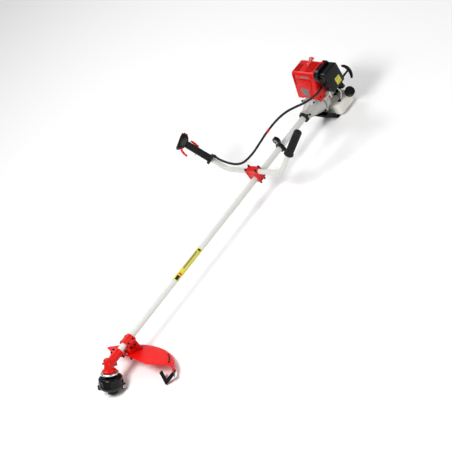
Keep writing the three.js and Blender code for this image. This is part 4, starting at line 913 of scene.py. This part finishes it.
def clamp_block(low, high, wide, bores):
    """A cast block with a lug at each corner."""
    body = brick((CLAMP_LONG - 6, wide - 6, high - low), (0, 0, (low + high) / 2), 6)
    lugs = []
    for x in (-1, 1):
        for y in (-1, 1):
            at = (x * (CLAMP_LONG / 2 - 6), y * (wide / 2 - 6))
            lugs.append(rod((*at, low), (*at, high), 6.3))
    return cut(soft(joined(body, *lugs), 1.0, 4), *bores)


def bar_bore():
    return rod((0, -50, BAR_HEIGHT), (0, 50, BAR_HEIGHT), BAR_RADIUS + FIT, segments=64)


for name, low, high, wide, bores in (
    ("cap", BAR_HEIGHT + FIT, 49, 80, [bar_bore()]),
    ("middle", FIT, BAR_HEIGHT - FIT, 80, [bar_bore(), tube_bore(-30, 30)]),
    ("shoe", -20, -FIT, 50, [tube_bore(-30, 30)]),
):
    block = clamp_block(low, high, wide, bores)
    piece(f"clamp_{name}", block, CLAMP, RED, [f"bar_clamp_{name}"])
clamp_bolts = []
for x in (-13, 13):
    for y in (-34, 34):
        clamp_bolts.append(cap_bolt((x, y, 48.8), UP, 8.5, 7.5))
        clamp_bolts.append(hex_bolt((x, y, 0.5), DOWN, 8.5, 6))
    for y in (-19, 19):
        clamp_bolts.append(hex_bolt((x, y, -19.8), DOWN, 8.5, 6))
fasteners("clamp_bolts", clamp_bolts, CLAMP)

# ---- handlebar and grips ----

for side, lean, name in ((1, LEAN_RIGHT, "handlebar_right"), (-1, LEAN_LEFT, "handlebar_left")):
    bar = swept(bar_points(side, BAR_START, BAR_RISE, 110), BAR_RADIUS, 40)
    piece(f"{name}_skin", bar, half_frame(lean), PAINT, [name])

# left grip: rubber with fine ribs round it
GRIP_LENGTH = 122
GRIP_BORE = BAR_RADIUS + FIT


def grip_profile():
    low = -GRIP_LENGTH
    points = [(GRIP_BORE, low), (21, low), (22.5, low + 1.5), (22.5, low + 9)]
    points += [(21.6, low + 11), (18, low + 13), (17.4, low + 16)]
    height = low + 19
    while height < -12:
        points += [(18.5, height), (18.5, height + 2.1), (17.7, height + 2.6), (17.7, height + 3.6)]
        height += 4
    points += [(18.5, -8), (18.5, 0), (17.4, 4), (14.6, 7), (11, 8), (0, 8), (0, FIT)]
    return [*points, (GRIP_BORE, FIT)]


def grip_flats(angle, height):
    """Lengthwise grooves that break the ribs into pads."""
    if height < -GRIP_LENGTH + 17 or height > -11:
        return 1
    return 1 - 0.045 * max(cos(9 * angle), 0) ** 10


piece("grip_rubber", lathe(grip_profile(), 144, grip_flats), LEFT_END, RUBBER, ["left_grip"])

# throttle grip: two moulded halves with a seam, rings for the fingers and an end clamp
grip = [(GRIP_BORE, -136), (20.4, -136), (21, -135), (21, -125), (20, -124), (17.6, -123.6)]
for i in range(9):
    z = -110 + 11 * i
    grip += [(17, z - 2.2), (16.3, z), (17, z + 2.2)]
grip += [(17, -0.4), (GRIP_BORE, -0.4)]


def palm_shape(angle, height):
    """Slightly square, as the two halves meet in flats."""
    if height < -124:
        return 1
    return 1 - 0.03 * cos(4 * angle) ** 2 - 0.035 * (abs(sin(angle)) > 0.995)


piece("throttle_grip_skin", lathe(grip, 144, palm_shape), RIGHT_END, SATIN, ["throttle_grip"])
end_lugs = [brick((14, 15, 14), (x, -21, -129.5), 2) for x in (-7.5, 7.5)]
end_lugs.append(brick((10, 12, 12), (-21, 4, -130), 2))
end_band = lathe([(20.5, -137), (24.6, -136), (24.6, -122), (20.5, -121)], 48)
piece("throttle_end_clamp", soft(joined(*end_lugs, end_band), 0.9, 3), RIGHT_END, BLACK)
lug_bolts = [
    cap_bolt((14, -22, -130), (1, 0, 0), 6, 4),
    hex_bolt((-14, -22, -130), (-1, 0, 0), 6, 4),
    cap_bolt((-21, 10, -130), (0, 1, 0), 6, 4),
]
fasteners("throttle_clamp_bolts", lug_bolts, RIGHT_END)
pin = rod((-16, 0, -62), (-25, 0, -59), 1.6, 2.4)
piece("throttle_pin", pin, RIGHT_END, ZINC)

# throttle housing: a wedge with side panels and screws
HOUSING_HIGH = 44
housing_outline = [
    (-42, 32), (-42, 20), (-17, 0), (17, 0), (34, 12), (34, HOUSING_HIGH), (22, HOUSING_HIGH),
]
TRIGGER_X = -30
TRIGGER_Z = HOUSING_HIGH * 0.42 - 7
SWITCH_X = 34
SWITCH_Z = HOUSING_HIGH * 0.6
wedge = bevelled(standing(housing_outline, -17, 17), 4.5, 4, 20)
slot_cut = brick((28, 14.6, 21), (TRIGGER_X, 0, TRIGGER_Z))
switch_cut = brick((12, 10.6, 19.6), (SWITCH_X, 0, SWITCH_Z + 2.5))
wedge = cut(wedge, slot_cut, switch_cut)
piece("throttle_housing_skin", wedge, RIGHT_END, SATIN, ["throttle_housing"])
housing_screws = [
    cap_bolt((x, side * 19, z), (0, side, 0), 6, 1.2)
    for side in (-1, 1)
    for x, z in ((-30, 28), (24, 36), (22, 10))
]
panel_outline = [(-38, 30), (-38, 22), (-15, 3), (15, 3), (31, 14), (31, 41), (21, 41)]
panels = [
    moved(bevelled(slab(panel_outline, 0, 2.4), 1.6, 3), shift(0, side * 17.9 + 1.2, 0) @ UPRIGHT)
    for side in (-1, 1)
]
piece("throttle_housing_panels", joined(*panels), RIGHT_END, BLACK)
fasteners("throttle_housing_screws", housing_screws, RIGHT_END)

# trigger, switch and lockout
TRIGGER = RIGHT_END @ shift(TRIGGER_X, 0, TRIGGER_Z) @ turn(20, "Y")
hook = spline([(0, 0, 0), (-5.2, 0, -12), (-6.4, 0, -24), (-5, 0, -36), (-2.4, 0, -46.5)], 40)
finger = swept(hook, lambda t: 4.6 - 1.2 * t, 24, 1.4)
piece("trigger_hook", joined(finger, rod((0, -6.4, 0), (0, 6.4, 0), 4.8)), TRIGGER, RED,
      ["throttle_trigger"], body="trigger")
switch = joined(
    bevelled(brick((12, 10, 14), (SWITCH_X + 0.3, 0, SWITCH_Z), 0.6), 0.8),
    bevelled(brick((8, 17, 21), (SWITCH_X + 4.9, 0, SWITCH_Z), 3), 1.6, 3),
)
ridges = [
    brick((1.6, 9, 1.4), (SWITCH_X + 9, 0, SWITCH_Z + d), 0.4) for d in (-4.5, -1.5, 1.5, 4.5)
]
piece("switch_slider", joined(switch, *ridges), RIGHT_END, RED, ["stop_switch"], body="stop_switch")
LOCKOUT = RIGHT_END @ shift(20.3, 0, -54)
lever_outline = [
    (-3, 0), (3, 0), (5.4, 12), (7.6, 24), (8.4, 33), (7.6, 41), (6, 46), (2.4, 46), (0.4, 34),
    (-1.6, 16),
]
lever = bevelled(standing(lever_outline, -5.5, 5.5), 1.4, 3, 25)
piece("lockout_lever", lever, LOCKOUT, RED, ["throttle_lockout"], body="lockout")

# ---- harness clamp ----

HARNESS = TUBE @ shift(HARNESS_STATION, 0, 0)
EYE_HEIGHT = 42
ring_body = rod((0, 0, 0), (18, 0, 0), 21.6, segments=64)
lug = slab([
    (-9, 0), (9, 0), (11, 26), (17, 33), (19, EYE_HEIGHT), (17, 52), (10, 59), (0, 62),
    (-10, 59), (-17, 52), (-19, EYE_HEIGHT), (-17, 33), (-11, 26),
], 0.4, 17.6)
lug = moved(lug, CROSSWISE)
neck_block = brick((17, 15, 36), (9, 0, 20), 2)
bolt_lugs = [brick((16, 10, 12), (9, side * 21, -9), 2) for side in (-1, 1)]
harness_body = soft(joined(ring_body, lug, neck_block, *bolt_lugs), 1.0, 4)
eye = rod((-3, 0, EYE_HEIGHT), (22, 0, EYE_HEIGHT), 7.4, segments=40)
piece("harness_body", cut(harness_body, eye, tube_bore(-5, 24)), HARNESS, BLACK, ["harness_clamp"])
for start in (-0.6, 17.4):
    collar = lathe([(6.6, 0), (10, 0), (10.4, 0.5), (10, 1), (6.6, 1)], 40)
    piece(f"harness_eyelet_{int(start > 0)}", collar, HARNESS @ shift(start, 0, EYE_HEIGHT) @ ALONG_X,
          ZINC)
harness_bolts = [cap_bolt((9, side * 21, -3.4), UP, 7, 5) for side in (-1, 1)]
harness_bolts += [hex_bolt((9, side * 21, -14.8), DOWN, 7, 5) for side in (-1, 1)]
fasteners("harness_bolts", harness_bolts, HARNESS)

# ---- clutch housing ----

collar_front = TUBE_END - 18 - 12.3 - CLUTCH_END
ring = lathe([(14.3, 0), (23.8, 0), (25, 1.2), (25, 10.8), (23.8, 12), (14.3, 12)], 64)
collar_lug = moved(brick((10, 18, 12), (0, 28, 6), 2), turn(150, "Z"))
piece("collar_rubber", soft(joined(ring, collar_lug), 0.9, 3),
      ENGINE @ shift(collar_front, 0, 0) @ ALONG_X, RUBBER, ["tube_collar"])

CLUTCH_START = -103
cone = lathe([
    (0, CLUTCH_START), (25, CLUTCH_START), (26, CLUTCH_START + 1), (26, CLUTCH_START + 20),
    (28, CLUTCH_START + 28), (36, -54), (44, -39.5), (50, -26), (53.6, -16), (54, -12), (54, 0), (0, 0),
], 96)
fins = []
for angle in range(0, 360, 45):
    web = slab([(24, CLUTCH_START + 6), (29, CLUTCH_START + 22), (52, -18), (40, -18)], -1.8, 1.8)
    fins.append(moved(moved(web, UPRIGHT), turn(angle + 22.5, "Z")))
BOLT_SPACE = 40.5
CORNERS = [(y * BOLT_SPACE, z * BOLT_SPACE) for y in (-1, 1) for z in (-1, 1)]
lugs = [rod((z, y, -9), (z, y, 0), 9) for y, z in CORNERS]
clutch_shell = soft(joined(cone, *fins, *lugs), 1.4, 5)
hollows = [
    rod((0, 0, CLUTCH_START - 4), (0, 0, -84.7), 14.3, segments=64),
    rod((0, 0, -90), (0, 0, -10), 12, segments=48),
    rod((0, 0, -35.8), (0, 0, 4), 39.5, segments=64),
]
piece("clutch_shell", cut(clutch_shell, *hollows), ENGINE @ ALONG_X, CAST, ["clutch_housing"])
bosses = [rod((-28, y, 24), (-42.4, y, 36.4), 6.5, segments=32) for y in (-34, 40)]
piece("clutch_bosses", bevelled(joined(*bosses), 0.8), ENGINE, CAST)
clutch_bolts = [cap_bolt((-9, y, z), (-1, 0, 0), 9, 7) for y, z in CORNERS]
clutch_bolts += [cap_bolt((-92, side * 26, 6), (0, side, 0.2), 8, 6) for side in (-1, 1)]
clutch_bolts += [cap_bolt((-42, y, 36), (-0.75, 0, 0.66), 7, 6) for y in (-34, 40)]
fasteners("clutch_bolts", clutch_bolts, ENGINE)

# ---- fan housing ----

fan_ring = lathe([
    (56, 0.3), (59.4, 0.3), (60, 1), (60, 8), (58.6, 9), (58.6, 19), (60, 20), (60, 26.6),
    (59.4, 27.3), (8, 27.3), (8, 23.3), (56, 23.3),
], 96)
piece("fan_shell", fan_ring, ENGINE @ ALONG_X, CAST, ["fan_housing"])

# ---- engine shroud ----

SHROUD_RIGHT = 66
SHROUD_LEFT = -74
FRONT_FOOT = Vector((-36, 0, 46))
FRONT_TOP = Vector((-4, 0, 166))
shroud_side = [(-36, 46), (110, 46), (110, 150), (84, 176), (6, 176), (-4, 166)]
shroud_inner = [(-33.4, 40), (107.5, 40), (107.5, 149), (83, 173.5), (7, 173.5), (-1.5, 165)]
shroud = bevelled(standing(shroud_side, SHROUD_LEFT, SHROUD_RIGHT), 9, 5, 12)
front_up = (FRONT_TOP - FRONT_FOOT).normalized()
front_out = Vector((0, -1, 0)).cross(front_up)
FRONT = Matrix.Translation(FRONT_FOOT) @ Matrix(
    ((0, front_up.x, front_out.x, 0), (-1, 0, 0, 0), (0, front_up.z, front_out.z, 0), (0, 0, 0, 1))
)
shroud_tools = [
    standing(shroud_inner, SHROUD_LEFT + 3.2, SHROUD_RIGHT - 3.2),
    brick((86, 30, 80), (67, SHROUD_LEFT, 74)),
    brick((84, 30, 76), (61.6, SHROUD_RIGHT, 82)),
    rod((-60, 0, 0), (0, 0, 0), 56.5, segments=96),
    rod((-1, 0, 0), (130, 0, 0), 62.5, segments=96),
    rod((61.6, 0, 150), (61.6, 0, 190), 10.8, segments=40),
]
shroud_tools += [moved(brick((11, 7.5, 12), (-50, 80 + 12.5 * i, 0), 2), FRONT) for i in range(4)]
shroud_tools += [brick((50, 6, 16), (38, 51 - 10.5 * i, 176), 2.8) for i in range(3)]
shroud_tools += [brick((66, 2.8, 5), (46, -14 - 8 * i, 176.4), 1.3) for i in range(6)]
piece("shroud_shell", cut(shroud, *shroud_tools), ENGINE, RED, ["engine_shroud"], sharp=28)


def front_panel(name, outline, low, high, look, soften):
    plate = bevelled(slab(outline, low, high), soften)
    piece(name, plate, ENGINE @ FRONT, look, slot="red_plastic")


front_panel("shroud_brow", [(-36, 108), (58, 108), (62, 128), (-40, 128)], -1, 3.2, RED, 1.8)
shield_outline = [(-38, 62), (-30, 16), (30, 12), (44, 70), (54, 104), (-38, 104)]
front_panel("shroud_shield", shield_outline, -1, 3.4, RED, 1.6)
front_panel("shroud_label_band", [(-5, 114), (47, 114), (47, 122), (-5, 122)], 3.1, 3.6, GREY, 0.15)
front_panel("shroud_label_crest", [(-24, 57), (-14, 22), (18, 22), (23, 57)], 3.3, 3.9, GREY, 0.15)
for i in range(6):
    rib = bevelled(brick((70, 3.6, 3), (45, -10 - 8 * i, 176.6), 1.6), 1.0, 3)
    piece(f"shroud_top_rib_{i}", rib, ENGINE, RED)
shroud_screws = [
    cap_bolt((x, y - way, z), (0, way, 0), 7, 3)
    for y, way, rear in ((SHROUD_LEFT, -1, 140), (SHROUD_RIGHT, 1, 60))
    for x, z in ((-22, 58), (96, rear))
]
fasteners("shroud_screws", shroud_screws, ENGINE)
skirt = standing([(-40, 52), (-36, 38), (6, 38), (10, 52)], SHROUD_LEFT - 0.4, SHROUD_LEFT + 4)
piece("shroud_skirt", bevelled(skirt, 1.2), ENGINE, RED)

boot = lathe([
    (4.5, 0), (9.4, 0), (10, 1), (10, 20), (9.4, 23), (7, 27), (5.8, 31), (5, 32), (0, 32), (0, 18),
    (4.5, 18),
], 48, lambda angle, height: 1 - 0.04 * max(cos(8 * angle), 0) * (3 < height < 20))
piece("plug_boot", boot, ENGINE @ shift(61.6, 0, 150), BOOT, ["spark_boot"])
crest = standing([(70, 173), (106, 173), (103, 184), (95, 192), (88, 194), (78, 184)], -7, 7)
piece("shroud_crest", bevelled(crest, 2.4, 3), ENGINE, BOOT)

# ---- air filter ----

FILTER_START = 3
FILTER_END = 100
FILTER_LOW = 66
FILTER_HIGH = 174
FILTER_FACE = -142
FILTER_BACK = -104
FILTER = ENGINE @ shift((FILTER_START + FILTER_END) / 2, 0, (FILTER_LOW + FILTER_HIGH) / 2)


def filter_slab(margin, radius, low, high):
    """A slab with the filter's outline, `margin` larger in all."""
    outline = plan(FILTER_END - FILTER_START + margin, FILTER_HIGH - FILTER_LOW + margin, radius, 6)
    return standing(outline, low, high)


face = bevelled(filter_slab(0, 12, FILTER_FACE, FILTER_BACK), 5, 4, 40)
hollow = filter_slab(-5, 10, FILTER_FACE + 5, FILTER_BACK + 8)
groove = filter_slab(2, 13, FILTER_BACK - 12, FILTER_BACK - 10.6)
groove = cut(groove, filter_slab(-1.6, 11.4, FILTER_BACK - 20, FILTER_BACK))
piece("filter_lid", cut(face, hollow, groove), FILTER, BLACK, ["filter_cover"])
panel = bevelled(standing(plan(80, 92, 9, 6), FILTER_FACE - 0.9, FILTER_FACE + 1), 0.8, 3)
piece("filter_lid_panel", panel, FILTER, BLACK)
diamond = standing(plan(33, 36, 1.5), FILTER_FACE - 1.25, FILTER_FACE - 0.7)
LABEL_X = 9.7
piece("filter_label", diamond, FILTER @ shift(LABEL_X, 0, -22.9), YELLOW)
for i, (z, wide, high) in enumerate([(-12, 24, 2.4), (-18, 18, 1.4), (-33, 24, 2.4)]):
    bar = standing(plan(wide, high, 0.4), FILTER_FACE - 1.4, FILTER_FACE - 1.2)
    piece(f"filter_label_bar_{i}", bar, FILTER @ shift(LABEL_X, 0, z), GREY)
base = filter_slab(0, 12, FILTER_BACK + FIT, -94.7)
scoop_outline = [(-59, 20), (-60, 38), (-56, 52), (-46, 62), (-34, 67), (36, 67), (42, 62), (42, 20)]
scoop = bevelled(standing(scoop_outline, -103, -76.7), 4, 4, 20)
grille_hole = brick((62, 17.5, 9), (2, -90, 66), 4)
base_hole = rod((1.5, -110, -44), (1.5, -80, -44), 8.3)
base = cut(soft(joined(bevelled(base, 2, 3), scoop), 1.2, 3), base_hole, grille_hole)
piece("filter_base_shell", base, FILTER, BLACK, ["filter_base"])
# the louvres take the darker red, painted shade for the red seen in shadow behind the grille
louvres = [
    moved(brick((2.6, 16.6, 5), (0, 0, 0), 1), shift(-24 + 8.6 * i, -90, 64.4) @ turn(24, "Y"))
    for i in range(7)
]
piece("filter_louvres", bevelled(joined(*louvres), 0.5), FILTER, RED_PAINTED_SHADE)
lobe = [(-58, -80), (-60, -98), (-57, -113), (-48, -123), (-34, -128), (-14, -128), (-14, -78)]
lobe = bevelled(slab(lobe, 14, 33), 5, 4, 20)
piece("filter_lobe", lobe, FILTER, BLACK)
knob_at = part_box("filter_knob")
knob_middle = (knob_at[0] + knob_at[1]) / 2
KNOB = millimetres_at((knob_middle.x, knob_middle.y, knob_at[0].z))
knob = lathe(
    [(0, 0), (4.2, 0), (4.2, 5.4), (6, 6), (7, 7), (7, 13.4), (6, 15), (0, 15)],
    72, lambda angle, height: 1 - 0.09 * max(cos(9 * angle), 0) * (height > 5.8),
)
piece("filter_knob_cap", knob, KNOB, RED, ["filter_knob"], body="filter_knob")

# ---- carburettor ----

CARB = ENGINE @ shift(53, -44, 76)
carb_body = joined(
    bevelled(brick((38, 36, 42), (0, -20, -6), 3), 1.2),
    bevelled(brick((44, 42, 9), (0, -21, 12.6), 4), 1.2),
    bevelled(brick((42, 38, 7), (0, -21, -28), 4), 1.2),
    bevelled(brick((53, 7.6, 29), (0, -4, 0), 3), 1),
    rod((-17, -24, 0), (-21.6, -24, 0), 9),
    rod((19, -24, -4), (22, -24, -4), 9),
)
carb_hole = rod((0, -46, 0), (0, 4, 0), 8, segments=40)
bulb_seat = rod((0, -21, -34), (0, -21, -26.6), 10.6, segments=48)
piece("carb_body", cut(carb_body, carb_hole, bulb_seat), CARB, CAST, ["carburettor"])
carb_bits = [cap_bolt((x, y, 17.2), UP, 5, 3) for x in (-16, 16) for y in (-36, -6)]
carb_bits += [
    cap_bolt((-14, -38, -12), (0, -1, 0), 5, 3),
    rod((12, -38, -8), (12, -48, -8), 2.6),
    rod((4, -38, -14), (4, -50, -14), 2.2),
    rod((12, -48, -8), (12, -52, -8), 3.6),
    rod((4, -50, -14), (4, -53, -14), 3.2),
]
fasteners("carb_screws", carb_bits, CARB, ZINC)
COIL_STEPS = 140
COIL_RADIUS = 4.2
coil = []
for i in range(COIL_STEPS):
    angle = i / COIL_STEPS * 14 * pi
    y, z = COIL_RADIUS * cos(angle), COIL_RADIUS * sin(angle)
    coil.append((-24.5 - i * 0.028, -30 + y, -14 + z))
linkage = [
    swept(coil, 0.7, 8),
    swept(spline([(-32, -34, 6), (-34, -30, 20), (-40, -12, 18), (-34, -2, 2)], 30), 1.1, 10),
    bevelled(brick((1.6, 12, 18), (-30.4, -34, -12), 3), 0.3),
    rod((-22, -30, -14), (-30, -30, -14), 2.4),
]
piece("carb_linkage", joined(*linkage), CARB, ZINC)
arm = bevelled(slab([(-4, 0), (4, 0), (3.4, 20), (2, 24), (-2, 24), (-3.4, 20)], -1.2, 1.2), 0.4)
arm = moved(arm, shift(-4, 0, 0) @ CROSSWISE)
arm = joined(rod((0, 0, 0), (-6, 0, 0), 5, segments=32), arm)
LEVER = millimetres_at(JOINTS["carb_throttle"]["pos_m"])
piece("throttle_arm", arm, LEVER, ZINC, ["carb_lever"], body="carb_lever")
bulb = lathe([(0, -14), (4, -13.6), (7.6, -11.6), (9.6, -8), (10, -4), (10, -0.3), (0, -0.3)], 48)
piece("primer_dome", bulb, CARB @ shift(0, -21, -32.5), BLACK, ["primer_bulb"], slot="black_rubber",
      body="primer_bulb")

CHOKE = millimetres_at(JOINTS["choke_turn"]["pos_m"])
disc = rod((0, 0, 0), (7, 0, 0), 9, segments=48)
handle = brick((6, 10, 26), (3.5, 0, -13), 1.5)
piece("choke_arm", soft(joined(disc, handle), 0.6, 3), CHOKE, BLACK, ["choke_lever"],
      body="choke_lever")

# ---- fuel lines ----

links = [
    ([(26, -90, 64), (24, -91, 50), (20, -91, 38), (21, -88, 20), (30, -78, 10)], 2.8, IVORY),
    ([(24, -88, 46), (10, -86, 37), (-4, -80, 33), (-12, -66, 30)], 2.2, IVORY),
    ([(35, -90, 63), (32, -91, 44), (36, -84, 24)], 1.6, ZINC),
]
for i, (route, radius, look) in enumerate(links):
    piece(f"carb_link_{i}", swept(spline(route, 40), radius, 14), ENGINE, look)
piece("fuel_clip", bevelled(brick((8, 7, 9), (17, -79, 25), 2), 1), ENGINE, RED)
coil_box = joined(brick((20, 30, 19), (119, -61, -5), 5), rod((119, -70, -5), (119, -80, -5), 8))
piece("coil_cover", soft(coil_box, 1.1, 4), ENGINE, BLACK)
hoses = [
    [(56, -62, 42), (50, -84, 30), (52, -92, 4), (60, -84, -24), (64, -70, -44), (64, -62, -58)],
    [(66, -60, 40), (74, -84, 24), (78, -92, 0), (76, -80, -30), (74, -66, -46), (74, -60, -58)],
]
for i, route in enumerate(hoses):
    piece(f"fuel_line_{i}", swept(spline(route, 60), 2.6, 14), ENGINE, IVORY if i else SATIN,
          slot="black_plastic")

# ---- fuel tank ----

TANK_LONG = 114
TANK_WIDE = 152
TANK_HIGH = 58
TANK_CORNER = 18
TANK_LIP = 1.6  # how much larger its seam is
TANK = ENGINE @ shift(88, 0, -83)
tank_body = slab(plan(TANK_LONG, TANK_WIDE, TANK_CORNER, 8), -TANK_HIGH / 2, TANK_HIGH / 2)
tank_body = bevelled(tank_body, 9, 6, 50)
seam = plan(TANK_LONG + TANK_LIP, TANK_WIDE + TANK_LIP, TANK_CORNER + TANK_LIP / 2, 8)
seam = bevelled(slab(seam, -1, 1), 0.6)
filler = shift(39, -68, 17) @ turn(45, "X")
neck = moved(lathe([(0, -8), (18, -8), (18, 27), (14, 27), (14, -6), (0, -6)], 56), filler)
piece("tank_body", soft(joined(tank_body, seam, neck), 1.5, 3), TANK, MILKY, ["fuel_tank"])
CAP_LOW = 17


def knurled(angle, height):
    """Grip ridges round the side of the cap."""
    return 1 - 0.045 * (0.5 + 0.5 * cos(22 * angle)) * (CAP_LOW + 2 < height < CAP_LOW + 17)


cap = lathe([
    (18.8, CAP_LOW), (23.4, CAP_LOW), (24, 18), (24, 20), (24, 30), (24, 34), (23, 36.4),
    (21, 37), (15, 37), (14, 35.6), (0, 35.6), (0, 27.8), (18.8, 27.8),
], 176, knurled)
cap_bar = bevelled(brick((27, 5, 2.4), (0, 0, 36.2), 2), 0.6)
piece("tank_cap", joined(cap, cap_bar), TANK @ filler, BLACK, ["fuel_cap"], body="fuel_cap")
grommet = lathe([(0, 0), (9, 0), (9, 2.4), (6, 4), (4, 6), (0, 6)], 32)
piece("tank_grommet", grommet, TANK @ shift(-20, -62, 28.6), BLACK, slot="black_rubber")

# ---- tank stand ----

STAND_LOW = -126
STAND_FLOOR = -121  # the strap's upper side
stand_outline = [
    (-41, -60), (25, STAND_LOW), (139, STAND_LOW), (161, -96), (156, -96), (136.5, STAND_FLOOR),
    (27.5, STAND_FLOOR), (-36, -58),
]
stand = cut(standing(stand_outline, -46, 46), brick((94, 56, 40), (82, 0, STAND_LOW)))
piece("stand_strap", bevelled(stand, 1.2, 2, 25), ENGINE, SATIN, ["tank_stand"])
gusset = [(-30, -64), (27, STAND_FLOOR), (60, STAND_FLOOR), (30, -100), (-4, -66)]
gussets = [standing(gusset, y - 2, y + 2) for y in (-38, 38)]
piece("stand_gussets", bevelled(joined(*gussets), 0.8), ENGINE, SATIN)
stand_bolts = [cap_bolt((-12, side * 24, -86), (-0.7, 0, -0.7), 8, 4) for side in (-1, 1)]
fasteners("stand_bolts", stand_bolts, ENGINE)

# ---- starter ----

STARTER_START = 95.9
STARTER_END = STARTER_START + 58
ROPE_AT = (-40, 2)
shell = lathe([
    (50.5, STARTER_START), (52.4, STARTER_START), (53, STARTER_START + 1), (53, STARTER_END - 16),
    (51.5, STARTER_END - 11), (43, STARTER_END - 2), (40, STARTER_END), (0, STARTER_END),
    (0, STARTER_END - 2.5), (38, STARTER_END - 2.5), (50.5, STARTER_END - 15),
], 120)
vents = [
    moved(brick((18, 5, 40), (33, 0, STARTER_END), 2), turn(36 * (i + 0.5), "Z")) for i in range(10)
]
shell = cut(shell, *vents)
boss = lathe([(2.4, -6), (8.5, -6), (8.5, 4), (7.5, 5), (4, 5), (2.4, 3.6)], 40)
boss = moved(boss, shift(-ROPE_AT[1], ROPE_AT[0], STARTER_END))
piece("starter_shell", joined(shell, boss), ENGINE @ ALONG_X, BLACK, ["starter_cover"])

STEM = 65.3  # from the starter cover to the middle of the handle
GRIP = ENGINE @ shift(STARTER_END + STEM, *ROPE_AT) @ turn(-17, "X")
half_arc = [(-18, 0, -40), (-13, 0, -35), (-5, 0, -24), (0, 0, -10)]
arc = [*half_arc, (1, 0, 0), *[(x, 0, -z) for x, _, z in reversed(half_arc)]]
bar = swept(spline(arc, 60), lambda t: 3.6 + 5.2 * sin(pi * t) ** 0.8, 28, 1.1)
stem = lathe([(0, -60), (5.5, -60), (5.5, -30), (4.6, -24), (5, -12), (7.4, -4), (0, 0)], 32)
tee = soft(joined(bar, moved(stem, ALONG_X)), 0.9, 5)
tee = cut(tee, rod((-66, 0, 0), (-8, 0, 0), 2, segments=20))
piece("starter_tee", tee, GRIP, BLACK, ["starter_handle"], body="starter_handle")
ROPE_LENGTH = 73
rope_path = [(STARTER_END - 16 + i, *ROPE_AT) for i in range(ROPE_LENGTH + 1)]
rope = piece("rope_braid", swept(rope_path, 1.7, 14), ENGINE, ROPE, ["starter_rope"], body=None)
rope_start, rope_end = (tuple(ENGINE @ Vector((STARTER_END + x, *ROPE_AT))) for x in (2, 6))
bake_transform(rope)
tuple(rope_start)
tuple(rope_end)

# ---- muffler ----

MUFFLER = ENGINE @ shift(61.6, 69, 88)
box = bevelled(standing(plan(62, 60, 10, 6), -22, 22), 5, 4, 50)
pipe = lathe([(4.5, 26), (6, 26), (6, 43), (4.5, 43)], 32)
band_seam = bevelled(standing(plan(63.4, 61.4, 10.6, 6), -1.2, 1.2), 0.6)
piece("muffler_box", joined(box, band_seam, moved(pipe, shift(0, 11, -15) @ ALONG_X)), MUFFLER, STEEL,
      ["muffler"])
slots = [brick((46, 14, 3), (0, 22, -18 + 9 * i), 1.4) for i in range(5)]
shield = bevelled(standing(plan(70, 66, 10, 6), 23.8, 25.5), 0.5)
piece("muffler_guard", cut(shield, *slots), MUFFLER, SATIN)

# ---- finishes of the parts that stay as the frame has them ----

kept_slots = {part["node"]: part["material_slot"] for part in frame["record"]["subparts"]}
for name, node in frame["nodes"].items():
    node.data.materials.clear()
    node.data.materials.append(FINISHES[kept_slots[name]][0])

# ---- floor ----

HALF_FLOOR = 9
FLOOR_GAP = 0.0005  # keeps the floor from touching what stands on it
floor_mesh = bpy.data.meshes.new("floor")
corners = [(-HALF_FLOOR, -HALF_FLOOR, 0), (HALF_FLOOR, -HALF_FLOOR, 0)]
corners += [(HALF_FLOOR, HALF_FLOOR, 0), (-HALF_FLOOR, HALF_FLOOR, 0)]
floor_mesh.from_pydata(corners, [], [(0, 1, 2, 3)])
paper = material("paper", (0.97, 0.97, 0.97), 0.95, vary=0.01, grain=60, relief=0.00001)
floor_mesh.materials.append(paper)
floor = placed("floor", floor_mesh)
floor.location.z = cad_box[0][2] - FLOOR_GAP
floor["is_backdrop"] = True

boxes = [[list(corner) for corner in box] for box in (cad_box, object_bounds())]
